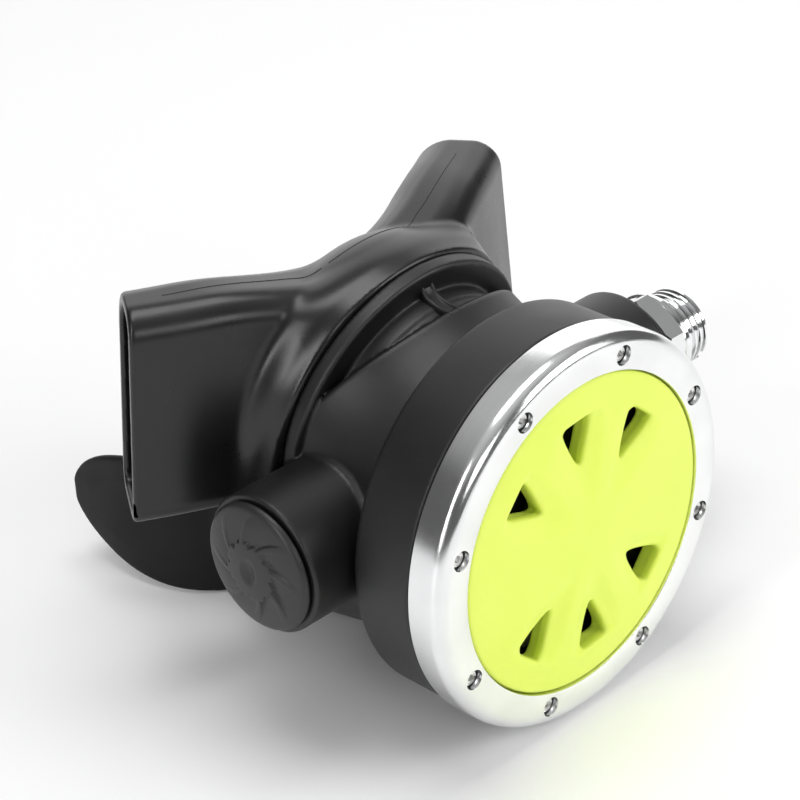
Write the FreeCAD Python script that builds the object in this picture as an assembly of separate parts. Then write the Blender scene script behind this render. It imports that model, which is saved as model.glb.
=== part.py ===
import FreeCAD, Part
import math
import os

V = FreeCAD.Vector

# Second stage of a scuba regulator, in millimetres. It lies on the front ring and the mouthpiece with its
# exhaust tee on top: the purge cover faces -Y, the mouthpiece +Y, the hose inlet +X and the knob -X.
# The model is built about the axis of the round front shell, and place() then moves every piece so that
# the origin is the middle of the bounding box's underside.

# Round front shell and the chrome ring that closes it
SHELL_R = 34.0
SHELL_WALL = 3.0
SHELL_DEPTH = 12.2
SHELL_EDGE = 0.8
RING_OVER = 0.5
RING_FRONT = 7.0
RING_ROUND = 2.4
RING_FACE = 6.5
LIP_DEPTH = 2.0
GROOVE_FROM_EDGE = 2.2
GROOVE_DEPTH = 1.6
RIDGE_FROM_EDGE = 5.6
RIDGE_RISE = 0.9

# Screws of the ring
SCREW_COUNT = 8
SCREW_FROM_EDGE = 3.9
SCREW_FIRST_DEG = 27.0
SCREW_R = 0.9
SCREW_HEAD_R = 1.5
SCREW_HEAD_H = 1.5
SCREW_PIT_R = 1.75
SCREW_PIT_DEPTH = 2.4
SCREW_REACH = 5.0
SCREW_SOCKET = 1.3

# Purge cover
COVER_GAP = 0.2
COVER_EDGE_DROP = 0.3
COVER_RISE = 1.6
COVER_WALL = 1.8
COVER_FLANGE = 1.0
PURGE_TRAVEL = 3.0
PLUNGER_R = 4.5
VENT_COUNT = 8
VENT_FIRST_DEG = 49.5
VENT_BLANKS = (3, 7)
VENT_TIP_R = 11.6
VENT_OUTER_R = 22.0
VENT_WIDTH = 7.6
VENT_CORNER = 0.9
SCOOP_R = 5.2
SCOOP_START_R = 7.0
SCOOP_DEPTH = 1.5

# Guard plate, diaphragm and purge spring
GUARD_T = 0.8
GUARD_HOLE_R = 2.1
GUARD_HOLES = 10
GUARD_HOLE_PCD_R = 21.0
RIM_DEPTH = 1.5
RIM_WIDTH = 2.2
SEAT_WALL = 2.1
MEMBRANE_T = 0.6
FOLD_R = 1.4
DISC_R = 12.0
DISC_T = 0.8
MEMBRANE_GAP = 0.3
PURGE_WIRE = 0.8
PURGE_SPRING_R = 8.0
PURGE_SPRING_FOOT_R = 11.0
PURGE_TURNS = 2.5

# Fits shared by the pieces
RUN = 0.06
TOUCH = 0.1
SOFT_GAP = 0.3

# Valve barrel, along X
BARREL_Y = 26.1
BARREL_Z = 0.6
BOSS_WALL = 1.1
BOSS_EDGE = 1.2
INLET_BOSS_END = 48.0
KNOB_BOSS_R = 12.2
KNOB_BOSS_END = 40.6
NUT_ROOM = 0.53
NUT_RECESS_DEPTH = 2.3
TUBE_R = 8.0
TUBE_WALL = 1.8
TUBE_PAST_NUT = 0.3
WINDOW_LENGTH = 11.0
WINDOW_WIDTH = 6.6
ORING_WIRE_R = 0.6

# Inlet fitting and its lock nut
NUT_RIM = 1.5
NUT_H = 5.0
FITTING_FLATS = 16.6
FITTING_HEX_H = 4.8
COLLAR_R = 8.7
COLLAR_H = 1.5
NECK_R = 6.2
NECK_H = 0.8
THREAD_R = 7.14
THREAD_PITCH = 25.4 / 18.0
THREAD_TURNS = 4
THREAD_DEPTH = 0.8
THREAD_CREST = 0.45
INLET_BORE_R = 5.2
INLET_BORE_DEPTH = 9.0
SLOT_WIDTH = 2.0
SLOT_DEPTH = 1.8
FEED_BORE_R = 3.2
ORIFICE_X = 14.6
ORIFICE_R = 2.0
ORIFICE_LIP = 1.6

# Lever, poppet and its spring
LEVER_PIVOT_X = -16.0
LEVER_PIVOT_Y = 15.6
LEVER_TIP_X = 2.0
LEVER_WIDTH = 4.0
LEVER_T = 1.0
LEVER_PIN_R = 0.8
LEVER_EYE_R = 1.7
LEVER_FOOT = 6.4
EAR_T = 1.2
POPPET_R = 5.8
POPPET_STEM_R = 1.5
POPPET_HEAD_H = 4.0
SEAT_DISC_R = 3.4
SEAT_DISC_H = 1.4
POPPET_TRAVEL = 1.0
POPPET_COLLAR_R = 4.6
POPPET_COLLAR_H = 1.6
SPRING_WIRE = 0.7
SPRING_R = 3.2
SPRING_TURNS = 4.5
SPRING_LENGTH = 7.0

# Adjusting knob
KNOB_GAP = 0.5
KNOB_R = 11.3
KNOB_SIDE = 0.8
KNOB_DOME = 2.2
KNOB_DIMPLE_R = 2.6
KNOB_PETALS = 8
PETAL_DEPTH = 0.5
SHAFT_LENGTH = 13.0
CARRIER_R = 4.2
CARRIER_LENGTH = 9.0
CARRIER_TRAVEL = 2.0
PIN_R = 0.9
PIN_FROM_END = 7.0
ORING_FROM_END = 2.6

# Exhaust collar, leaning back from the shell's axis
EXHAUST_Y = 35.4
EXHAUST_Z = 11.8
EXHAUST_TILT = 14.0
COLLAR_OUT_R = 26.4
COLLAR_T = 3.0
COLLAR_SPIGOT_R = 23.6
COLLAR_SPIGOT_H = 3.0
NECK_OUT_R = 21.5
NECK_IN_R = 13.4
VALVE_RISE = 5.0
EXHAUST_SEAT_R = 14.8
EXHAUST_PORT_R = 12.2
EXHAUST_SEAT_T = 2.4
EXHAUST_HUB_R = 3.0
SPOKE_COUNT = 4
SPOKE_WIDTH = 2.2
SPOKE_DROP = 0.6
VALVE_R = 13.8
VALVE_T = 0.8
VALVE_STEM_R = 1.2
VALVE_BULB_R = 1.9
VALVE_LIFT = 1.4
CREVICE_DEG = 27.0
CREVICE_Z = 22.0
CLIP_WIDTH = 3.0
CLIP_T = 1.5

# Exhaust tee
TEE_FLOOR = -0.6
TEE_TOP = 37.8
TEE_WALL = 2.2
TEE_DEPTH = 17.6
TEE_MID_X = 22.0
TEE_MID_Y = 47.6
TEE_END_X = 40.8
TEE_END_Y = 57.1
TEE_CENTRE_Y = 42.6
TEE_MOUTH_DEPTH = 15.8
TEE_CORNER = 6.0
TEE_SWEEP_DEG = 34.0
TEE_MID_DEG = 28.0
TEE_MID_DIP = 1.3
TEE_CENTRE_DIP = 4.6
TEE_LEAN = 0.075
HOOD_R = 26.9
HOOD_STRAIGHT = 4.0
HOOD_LENGTH = 17.4

# Mouthpiece and its tie
MOUTH_Z = -20.5
SPIGOT_A = 15.5
SPIGOT_B = 10.0
SPIGOT_WALL = 2.0
SPIGOT_START = 30.0
SPIGOT_END = 52.0
BODY_OVAL_A = 18.0
BODY_OVAL_B = 13.2
BODY_OVAL_Y = 41.0
MOUTH_STEP = 1.5
SLEEVE_START = 42.0
SLEEVE_WALL = 2.2
TIE_START = 44.0
TIE_WIDTH = 4.4
TIE_T = 1.1
TIE_HEAD_WIDTH = 7.4
TIE_HEAD_LENGTH = 8.0
TIE_HEAD_T = 5.6
TIE_HEAD_DEG = -30.0
BULGE_END = 57.0
BULGE_OUT = 0.3
NECK_END = 61.0
NECK_A = 14.5
NECK_B = 9.6
BORE_A = 11.0
BORE_B = 6.6
FLANGE_Y = 60.5
FLANGE_R = 25.0
FLANGE_T = 2.4
WING_TIP_Y = 96.0
WING_TIP_R = 9.0
NOTCH_R = 6.0
PAD_WIDTH = 9.5
PAD_T = 4.4
PAD_START_X = 12.5
PAD_END_Y = 94.0
LUG_T = 2.0
LUG_HALF_H = 5.0
LUG_END_Y = 87.0

# Places worked out from the sizes above
RING_R = SHELL_R + RING_OVER
LIP_R = RING_R - RING_FACE
SCREW_PCD_R = RING_R - SCREW_FROM_EDGE
GROOVE_R = SHELL_R - GROOVE_FROM_EDGE
RIDGE_R = SHELL_R - RIDGE_FROM_EDGE
SEAT_R = RIDGE_R - SEAT_WALL
RIM_R = SEAT_R + RIM_WIDTH
COVER_R = LIP_R - COVER_GAP
COVER_BACK = -(RING_FRONT - LIP_DEPTH)
SHELL_FRONT = GUARD_T
RIM_BACK = SHELL_FRONT + RIM_DEPTH
DISC_FRONT = SHELL_FRONT + 0.2
DISC_BACK = DISC_FRONT + MEMBRANE_T + DISC_T
RIDGE_Y = SHELL_DEPTH + RIDGE_RISE
NUT_FLATS = 2 * (TUBE_R + NUT_RIM)
NUT_RECESS_R = NUT_FLATS / math.sqrt(3) + NUT_ROOM
BOSS_R = NUT_RECESS_R + BOSS_WALL
NUT_SEAT_X = INLET_BOSS_END - NUT_RECESS_DEPTH
TUBE_END_X = NUT_SEAT_X + NUT_H + TUBE_PAST_NUT
HEX_END_X = TUBE_END_X + FITTING_HEX_H
COLLAR_END_X = HEX_END_X + COLLAR_H
THREAD_START_X = COLLAR_END_X + NECK_H
THREAD_END_X = THREAD_START_X + THREAD_TURNS * THREAD_PITCH + THREAD_CREST
TUBE_BORE_R = TUBE_R - TUBE_WALL
KNOB_START_X = -(KNOB_BOSS_END + KNOB_GAP)
KNOB_END_X = KNOB_START_X - KNOB_SIDE - KNOB_DOME
POPPET_COLLAR_X = LEVER_PIVOT_X - LEVER_T / 2 - TOUCH
FLANGE_HALF_H = RING_R + MOUTH_Z
TIE_A = SPIGOT_A + SLEEVE_WALL
TIE_B = SPIGOT_B + SLEEVE_WALL
COVER_FRONT = -(RING_FRONT - COVER_EDGE_DROP + COVER_RISE)
TEE_TURN_OUT = math.sin(math.radians(TEE_SWEEP_DEG))
TEE_LEAN_OUT = TEE_LEAN * math.cos(math.radians(TEE_SWEEP_DEG))
TEE_TIP_X = (TEE_END_X + (TEE_MOUTH_DEPTH / 2 - TEE_CORNER) * TEE_TURN_OUT
             + ((TEE_TOP - TEE_FLOOR) / 2 - TEE_CORNER) * TEE_LEAN_OUT
             + TEE_CORNER * math.hypot(TEE_TURN_OUT, TEE_LEAN_OUT))
FAR_X = max(TEE_TIP_X, -KNOB_END_X)
ORIGIN = V((THREAD_END_X - FAR_X) / 2, (WING_TIP_Y + COVER_FRONT) / 2, -RING_R)

Y = V(0, 1, 0)
X = V(1, 0, 0)
Z = V(0, 0, 1)


def along_y(radius, start, end, x=0.0, z=0.0):
    """A round bar along the shell's axis."""
    return Part.makeCylinder(radius, end - start, V(x, start, z), Y)


def along_barrel(radius, start, end):
    """A round bar along the valve barrel's axis."""
    return Part.makeCylinder(radius, end - start, V(start, BARREL_Y, BARREL_Z), X)


def block(low, high):
    """A box between two corners."""
    return Part.makeBox(high[0] - low[0], high[1] - low[1], high[2] - low[2], V(*low))


def turned_y(profile, z=0.0):
    """A solid of revolution about the shell's axis from (radius, y) corners."""
    points = [V(r, y, z) for r, y in profile]
    face = Part.Face(Part.makePolygon(points + points[:1]))
    return face.revolve(V(0, 0, z), Y, 360)


def turned_barrel(profile):
    """A solid of revolution about the barrel's axis from (x, radius) corners."""
    points = [V(x, BARREL_Y, BARREL_Z + r) for x, r in profile]
    face = Part.Face(Part.makePolygon(points + points[:1]))
    return face.revolve(V(0, BARREL_Y, BARREL_Z), X, 360)


def oval(a, b, y, z):
    """An upright oval outline at one place along Y."""
    wide = a >= b
    major, minor = (a, b) if wide else (b, a)
    curve = Part.Ellipse(V(0, y, z) + (X if wide else Z) * major, V(0, y, z) + (Z if wide else X) * minor, V(0, y, z))
    return Part.Wire([curve.toShape()])


def oval_bar(a, b, start, end, z=MOUTH_Z):
    """A straight oval bar along Y."""
    return Part.Face(oval(a, b, start, z)).extrude(V(0, end - start, 0))


def tapered(outlines):
    """A solid skinned through outlines."""
    return Part.makeLoft(outlines, True, False)


def on_exhaust(shape, rise=0.0):
    """Turns a piece built on +Z to the collar's leaning axis; rise lifts it within the collar's plane."""
    moved = shape.copy()
    moved.translate(V(0, -rise, 0))
    moved.rotate(V(0, 0, 0), X, -(90 - EXHAUST_TILT))
    moved.translate(V(0, EXHAUST_Y, EXHAUST_Z))
    return moved


def exhaust_bar(radius, start, end, rise=0.0):
    """A round bar along the exhaust axis; 0 is the joint between collar and tee."""
    return on_exhaust(Part.makeCylinder(radius, end - start, V(0, 0, start)), rise)


def exhaust_point(height, rise=0.0):
    """A point on the exhaust axis, or above it by rise within the collar's plane."""
    lean = math.radians(EXHAUST_TILT)
    return V(0, EXHAUST_Y + height * math.cos(lean) - rise * math.sin(lean),
             EXHAUST_Z + height * math.sin(lean) + rise * math.cos(lean))


def above_floor(inset):
    """Everything above the tee's underside, raised by inset."""
    return block((-80, 0, TEE_FLOOR + inset), (80, 120, 80))


def hexagon(flats, start, end, chamfer_r):
    """A hexagon along the barrel with its corners turned off at both ends."""
    corner = flats / math.sqrt(3)
    points = []
    for k in range(7):
        angle = math.radians(60 * k + 30)
        points.append(V(start, BARREL_Y + corner * math.cos(angle), BARREL_Z + corner * math.sin(angle)))
    prism = Part.Face(Part.makePolygon(points)).extrude(V(end - start, 0, 0))
    drop = (corner - chamfer_r) * 0.6
    barrel = turned_barrel([(start, 0), (start, chamfer_r), (start + drop, corner), (end - drop, corner),
                            (end, chamfer_r), (end, 0)])
    return prism.common(barrel)


def coil(radius, foot_radius, wire_d, length, turns):
    """A round-wire spring along +Z, standing on zero; it may widen towards its foot."""
    pitch = (length - wire_d) / turns
    angle = math.degrees(math.atan2(foot_radius - radius, length - wire_d))
    path = Part.makeLongHelix(pitch, pitch * turns, foot_radius, -angle)
    start = path.Edges[0].valueAt(path.Edges[0].FirstParameter)
    section = Part.Wire([Part.makeCircle(wire_d / 2, start, V(0, 1, 0))])
    spring = Part.Wire(path.Edges).makePipeShell([section], True, True)
    spring.translate(V(0, 0, wire_d / 2))
    return spring


def ring_of(radius, wire_r, x):
    """An O-ring round the barrel's axis."""
    return Part.makeTorus(radius, wire_r, V(x, BARREL_Y, BARREL_Z), X)


def around_shell(shape, count, first_deg):
    """Copies of a shape round the shell's axis, from an angle counted from +X towards +Z."""
    copies = []
    for k in range(count):
        copy = shape.copy()
        copy.rotate(V(0, 0, 0), Y, -(first_deg + 360.0 * k / count))
        copies.append(copy)
    return copies


def crevice():
    """The wedge-shaped crevice above the neck, in front of the collar."""
    lean = math.radians(EXHAUST_TILT)
    back = exhaust_point(-COLLAR_T)
    up = V(0, -math.sin(lean), math.cos(lean))
    apex = back + up * ((CREVICE_Z - back.z) / up.z)
    far = 2 * COLLAR_OUT_R
    spread = lean + math.radians(CREVICE_DEG)
    reach = V(0, -math.sin(spread), math.cos(spread))
    corners = [apex, apex + up * far, apex + reach * far]
    corners = [V(-far, p.y, p.z) for p in corners]
    wedge = Part.Face(Part.makePolygon(corners + corners[:1])).extrude(V(2 * far, 0, 0))
    return wedge.cut(exhaust_bar(NECK_OUT_R, -far, far))


def front_drum():
    """The round front of the shell, with the groove and ridge round its back."""
    groove_y = SHELL_DEPTH - GROOVE_DEPTH
    return turned_y([(0, SHELL_FRONT), (SHELL_R - SHELL_EDGE, SHELL_FRONT), (SHELL_R, SHELL_FRONT + SHELL_EDGE),
                     (SHELL_R, SHELL_DEPTH - SHELL_EDGE), (SHELL_R - SHELL_EDGE, SHELL_DEPTH),
                     (GROOVE_R, SHELL_DEPTH), (GROOVE_R - 1, groove_y), (RIDGE_R, groove_y),
                     (RIDGE_R, RIDGE_Y), (0, RIDGE_Y)])


def boss(radius, end):
    """One end of the barrel housing; end is negative on the knob's side."""
    side = math.copysign(1, end)
    return turned_barrel([(0, 0), (0, radius), (end - side * BOSS_EDGE, radius), (end, radius - BOSS_EDGE), (end, 0)])


def case_outside():
    """The shell's outer form, still solid."""
    start = Part.Wire([Part.makeCircle(RIDGE_R, V(0, RIDGE_Y, 0), Y)])
    collar_back = Part.Wire([Part.makeCircle(COLLAR_OUT_R - 1, exhaust_point(-COLLAR_T),
                                             exhaust_point(1) - exhaust_point(0))])
    to_exhaust = tapered([start, collar_back]).cut(crevice())
    collar = exhaust_bar(COLLAR_OUT_R, -COLLAR_T, 0).fuse(exhaust_bar(NECK_OUT_R, -2 * COLLAR_T, 0))
    spigot = exhaust_bar(COLLAR_SPIGOT_R, 0, COLLAR_SPIGOT_H).common(above_floor(TEE_WALL + TOUCH))
    inner_start = Part.Wire([Part.makeCircle(RIDGE_R - MOUTH_STEP, V(0, RIDGE_Y - MOUTH_STEP, 0), Y)])
    to_mouth = tapered([inner_start, oval(BODY_OVAL_A, BODY_OVAL_B, BODY_OVAL_Y, MOUTH_Z)])
    tee_room = exhaust_bar(HOOD_R + SOFT_GAP, -TOUCH, HOOD_STRAIGHT).common(above_floor(-TOUCH))
    barrel = boss(BOSS_R, INLET_BOSS_END).fuse(boss(KNOB_BOSS_R, -KNOB_BOSS_END)).cut(tee_room)
    solid = front_drum().fuse([to_exhaust, collar.common(above_floor(0)), spigot, to_mouth, barrel])
    return solid.fuse(oval_bar(SPIGOT_A, SPIGOT_B, SPIGOT_START, SPIGOT_END))


def case_inside():
    """The air space and every hole in the shell."""
    start = Part.Wire([Part.makeCircle(SEAT_R, V(0, SHELL_DEPTH - 1, 0), Y)])
    neck = Part.Wire([Part.makeCircle(NECK_IN_R, exhaust_point(-2 * COLLAR_T, VALVE_RISE),
                                      exhaust_point(1) - exhaust_point(0))])
    inner_start = Part.Wire([Part.makeCircle(SEAT_R - MOUTH_STEP, V(0, SHELL_DEPTH - 1 - MOUTH_STEP, 0), Y)])
    inner_oval = oval(SPIGOT_A - SPIGOT_WALL, SPIGOT_B - SPIGOT_WALL, BODY_OVAL_Y - SHELL_WALL, MOUTH_Z)
    air = along_y(SEAT_R, SHELL_FRONT, SHELL_DEPTH - 1)
    air = air.fuse([tapered([start, neck]), tapered([inner_start, inner_oval]),
                    exhaust_bar(NECK_IN_R, -2 * COLLAR_T, COLLAR_SPIGOT_H, VALVE_RISE),
                    exhaust_bar(EXHAUST_SEAT_R + RUN, -EXHAUST_SEAT_T, COLLAR_SPIGOT_H, VALVE_RISE),
                    oval_bar(SPIGOT_A - SPIGOT_WALL, SPIGOT_B - SPIGOT_WALL, SPIGOT_START, SPIGOT_END)])
    holes = [along_y(RIM_R, SHELL_FRONT, RIM_BACK),
             along_barrel(TUBE_R + RUN, -KNOB_BOSS_END, INLET_BOSS_END),
             along_barrel(NUT_RECESS_R, NUT_SEAT_X, INLET_BOSS_END)]
    screw_hole = along_y(SCREW_R, SHELL_FRONT, SCREW_REACH + TOUCH, x=SCREW_PCD_R)
    return air.fuse(holes + around_shell(screw_hole, SCREW_COUNT, SCREW_FIRST_DEG))


def case():
    return case_outside().cut(case_inside())


def retaining_ring():
    """Chrome ring with a rounded front edge, a lip that keeps the cover and a pit for each screw."""
    steps = 6
    corner = []
    for k in range(steps + 1):
        turn = math.radians(90.0 * k / steps)
        corner.append((RING_R - RING_ROUND + RING_ROUND * math.cos(turn),
                       -(RING_FRONT - RING_ROUND) - RING_ROUND * math.sin(turn)))
    back_r = COVER_R + COVER_FLANGE + COVER_GAP
    ring = turned_y([(back_r, 0), (RING_R, 0)] + corner + [(LIP_R, -RING_FRONT), (LIP_R, COVER_BACK),
                                                            (back_r, COVER_BACK)])
    pit = along_y(SCREW_PIT_R, -RING_FRONT, -RING_FRONT + SCREW_PIT_DEPTH, x=SCREW_PCD_R)
    pit = pit.fuse(along_y(SCREW_R, -RING_FRONT, 0, x=SCREW_PCD_R))
    return ring.cut(around_shell(pit, SCREW_COUNT, SCREW_FIRST_DEG))


def ring_screw(k):
    """One cap screw with a hexagon socket, sunk in its pit."""
    seat = -RING_FRONT + SCREW_PIT_DEPTH
    head = along_y(SCREW_HEAD_R, seat - SCREW_HEAD_H, seat, x=SCREW_PCD_R)
    head = head.makeChamfer(0.25, [head.Edges[0]] if head.Edges[0].CenterOfMass.y < seat - 1 else [head.Edges[2]])
    shank = along_y(SCREW_R, seat, SCREW_REACH, x=SCREW_PCD_R)
    points = []
    for corner in range(7):
        angle = math.radians(60 * corner)
        points.append(V(SCREW_PCD_R + SCREW_SOCKET / 2 * math.cos(angle), seat - SCREW_HEAD_H,
                        SCREW_SOCKET / 2 * math.sin(angle)))
    socket = Part.Face(Part.makePolygon(points)).extrude(V(0, SCREW_HEAD_H * 0.6, 0))
    screw = head.fuse(shank).removeSplitter().cut(socket)
    screw.rotate(V(0, 0, 0), Y, -(SCREW_FIRST_DEG + 360.0 * k / SCREW_COUNT))
    return screw


def vent():
    """One vent: a scoop that deepens outward and a rounded triangular hole at its end, on the +X side."""
    front = COVER_FRONT + COVER_RISE * (VENT_TIP_R / COVER_R) ** 2
    start = V(SCOOP_START_R, front - SCOOP_R, 0)
    end = V(VENT_OUTER_R, front - SCOOP_R + SCOOP_DEPTH, 0)
    scoop = Part.makeCylinder(SCOOP_R, (end - start).Length, start, end - start)
    scoop = scoop.fuse(Part.makeSphere(SCOOP_R, end))
    half = VENT_WIDTH / 2
    low = COVER_FRONT - 1
    points = [V(VENT_TIP_R, low, 0), V(VENT_OUTER_R, low, half), V(VENT_OUTER_R, low, -half)]
    hole = Part.Face(Part.makePolygon(points + points[:1])).extrude(V(0, PURGE_TRAVEL + COVER_RISE + COVER_WALL, 0))
    upright = [e for e in hole.Edges if abs(e.tangentAt(e.FirstParameter).y) > 0.9]
    return scoop, hole.makeFillet(VENT_CORNER, upright)


def purge_cover():
    """Domed cover: a skirt with a flange behind the ring's lip, a plunger, and two groups of vents."""
    edge = -(RING_FRONT - COVER_EDGE_DROP)
    outer = dome(COVER_R, edge, COVER_RISE)
    inner_r = COVER_R - COVER_WALL
    shell = outer.fuse(along_y(COVER_R, edge, COVER_BACK))
    shell = shell.fuse(along_y(COVER_R + COVER_FLANGE, COVER_BACK + TOUCH, COVER_BACK + TOUCH + COVER_FLANGE))
    shell = shell.fuse(along_y(COVER_R, COVER_BACK, COVER_BACK + TOUCH + COVER_FLANGE))
    hollow = dome(inner_r, edge + COVER_WALL, COVER_RISE)
    hollow = hollow.fuse(along_y(inner_r, edge + COVER_WALL, COVER_BACK + TOUCH + COVER_FLANGE))
    shell = shell.cut(hollow)
    places = [k for k in range(VENT_COUNT) if k not in VENT_BLANKS]
    scoop, hole = vent()
    tools = []
    for k in places:
        for tool in (scoop, hole):
            copy = tool.copy()
            copy.rotate(V(0, 0, 0), Y, -(VENT_FIRST_DEG + 360.0 * k / VENT_COUNT))
            tools.append(copy)
    shell = shell.cut(tools)
    plunger = along_y(PLUNGER_R, COVER_FRONT + COVER_WALL / 2, DISC_FRONT - TOUCH)
    return shell.fuse(plunger).removeSplitter()


def dome(radius, edge, rise):
    """A shallow cap that stands rise in front of a circle."""
    ball_r = (radius ** 2 + rise ** 2) / (2 * rise)
    ball = Part.makeSphere(ball_r, V(0, edge - rise + ball_r, 0))
    return ball.common(along_y(radius, edge - rise, edge))


def purge_spring():
    """Conical spring between the guard plate and the cover."""
    dome_fall = COVER_RISE * ((PURGE_SPRING_R + PURGE_WIRE) / COVER_R) ** 2
    length = -(COVER_FRONT + COVER_WALL) - dome_fall - 2 * TOUCH
    spring = coil(PURGE_SPRING_R, PURGE_SPRING_FOOT_R, PURGE_WIRE, length, PURGE_TURNS)
    spring.rotate(V(0, 0, 0), X, 90)
    spring.translate(V(0, -TOUCH, 0))
    return spring


def guard_plate():
    """Thin plate under the ring that keeps the diaphragm's rim down and lets water through."""
    plate = along_y(SHELL_R - SHELL_EDGE, 0, GUARD_T)
    hole = along_y(GUARD_HOLE_R, 0, GUARD_T, x=GUARD_HOLE_PCD_R)
    screw_hole = along_y(SCREW_R, 0, GUARD_T, x=SCREW_PCD_R)
    cuts = around_shell(hole, GUARD_HOLES, 0) + around_shell(screw_hole, SCREW_COUNT, SCREW_FIRST_DEG)
    return plate.cut(cuts + [along_y(PLUNGER_R + COVER_GAP, 0, GUARD_T)])


def diaphragm():
    """Rim, flat web and one rolled fold; the moving disc fills its middle."""
    inner = DISC_R + MEMBRANE_GAP
    rim = along_y(RIM_R - RUN, SHELL_FRONT, RIM_BACK).cut(along_y(SEAT_R, SHELL_FRONT, RIM_BACK))
    web = along_y(SEAT_R, DISC_FRONT, DISC_FRONT + MEMBRANE_T).cut(along_y(inner, DISC_FRONT, DISC_FRONT + 1))
    fold_at = (SEAT_R + inner) / 2
    centre = V(0, DISC_FRONT + MEMBRANE_T, 0)
    fold = Part.makeTorus(fold_at, FOLD_R, centre, Y).cut(Part.makeTorus(fold_at, FOLD_R - MEMBRANE_T, centre, Y))
    fold = fold.cut(along_y(SHELL_R, -FOLD_R, DISC_FRONT + MEMBRANE_T / 2))
    gap = along_y(fold_at + FOLD_R - MEMBRANE_T, DISC_FRONT, RIM_BACK).cut(
        along_y(fold_at - FOLD_R + MEMBRANE_T, DISC_FRONT, RIM_BACK))
    return rim.fuse([web.cut(gap), fold]).removeSplitter()


def diaphragm_disc():
    """Stiff middle of the diaphragm, which the plunger and the lever touch."""
    pad = along_y(DISC_R, DISC_FRONT, DISC_BACK)
    return pad.makeFillet(0.25, [e for e in pad.Edges if e.Closed and len(e.Vertexes) == 1])


def valve_tube():
    """Brass tube through the shell, with a window and two ears for the lever."""
    tube = along_barrel(TUBE_R, -KNOB_BOSS_END, TUBE_END_X).cut(along_barrel(TUBE_BORE_R, -KNOB_BOSS_END, TUBE_END_X))
    window = block((LEVER_PIVOT_X - WINDOW_LENGTH / 2, BARREL_Y - TUBE_R - 1, BARREL_Z - WINDOW_WIDTH / 2),
                   (LEVER_PIVOT_X + WINDOW_LENGTH / 2, BARREL_Y, BARREL_Z + WINDOW_WIDTH / 2))
    tube = tube.cut(window)
    for x in tube_oring_places():
        groove = along_barrel(TUBE_R, x - ORING_WIRE_R, x + ORING_WIRE_R)
        tube = tube.cut(groove.cut(along_barrel(TUBE_R - 2 * ORING_WIRE_R, x - ORING_WIRE_R, x + ORING_WIRE_R)))
    inside = WINDOW_WIDTH / 2
    ears = []
    for low in (BARREL_Z - inside - EAR_T, BARREL_Z + inside):
        foot = block((LEVER_PIVOT_X - 2, LEVER_PIVOT_Y, low), (LEVER_PIVOT_X + 2, BARREL_Y - TUBE_R * 0.75, low + EAR_T))
        eye = Part.makeCylinder(2, EAR_T, V(LEVER_PIVOT_X, LEVER_PIVOT_Y, low), Z)
        ears.append(foot.fuse(eye))
    tube = tube.fuse(ears)
    tube = tube.cut(along_barrel(TUBE_BORE_R, -KNOB_BOSS_END, TUBE_END_X))
    pin = Part.makeCylinder(LEVER_PIN_R, 4 * inside, V(LEVER_PIVOT_X, LEVER_PIVOT_Y, BARREL_Z - 2 * inside), Z)
    return tube.cut([pin, knob_pin_bar()]).removeSplitter()


def tube_oring_places():
    """Where the two O-rings sit between tube and shell."""
    return (-KNOB_BOSS_END + 5.0, NUT_SEAT_X - 5.0)


def lever_pin():
    """Pin through the ears and the lever's eye."""
    reach = WINDOW_WIDTH / 2 + EAR_T
    return Part.makeCylinder(LEVER_PIN_R, 2 * reach, V(LEVER_PIVOT_X, LEVER_PIVOT_Y, BARREL_Z - reach), Z)


def demand_lever():
    """Bent lever: an eye on the pin, a foot in the tube's window and an arm up to the disc."""
    tip_y = DISC_BACK + TOUCH + LEVER_T
    mid = V(LEVER_TIP_X - 6, (LEVER_PIVOT_Y + tip_y) / 2 - 1.5, 0)
    eye = V(LEVER_PIVOT_X, LEVER_PIVOT_Y, 0)
    tip = V(LEVER_TIP_X, tip_y, 0)
    foot = V(LEVER_PIVOT_X, LEVER_PIVOT_Y + LEVER_FOOT, 0)
    bottom = BARREL_Z - LEVER_WIDTH / 2
    strips = [strip(a, b, bottom) for a, b in ((eye, mid), (mid, tip), (eye, foot))]
    rounds = [Part.makeCylinder(r, LEVER_WIDTH, V(p.x, p.y, bottom), Z)
              for p, r in ((mid, LEVER_T / 2), (tip, LEVER_T), (eye, LEVER_EYE_R), (foot, LEVER_T / 2))]
    lever = strips[0].fuse(strips[1:] + rounds)
    bore = Part.makeCylinder(LEVER_PIN_R + RUN, LEVER_WIDTH, V(eye.x, eye.y, bottom), Z)
    return lever.cut(bore).removeSplitter()


def strip(start, end, bottom):
    """A flat strip of the lever between two points."""
    across = V(-(end.y - start.y), end.x - start.x, 0)
    across.normalize()
    across = across * (LEVER_T / 2)
    points = [p + V(0, 0, bottom) for p in (start + across, end + across, end - across, start - across)]
    return Part.Face(Part.makePolygon(points + points[:1])).extrude(V(0, 0, LEVER_WIDTH))


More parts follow.
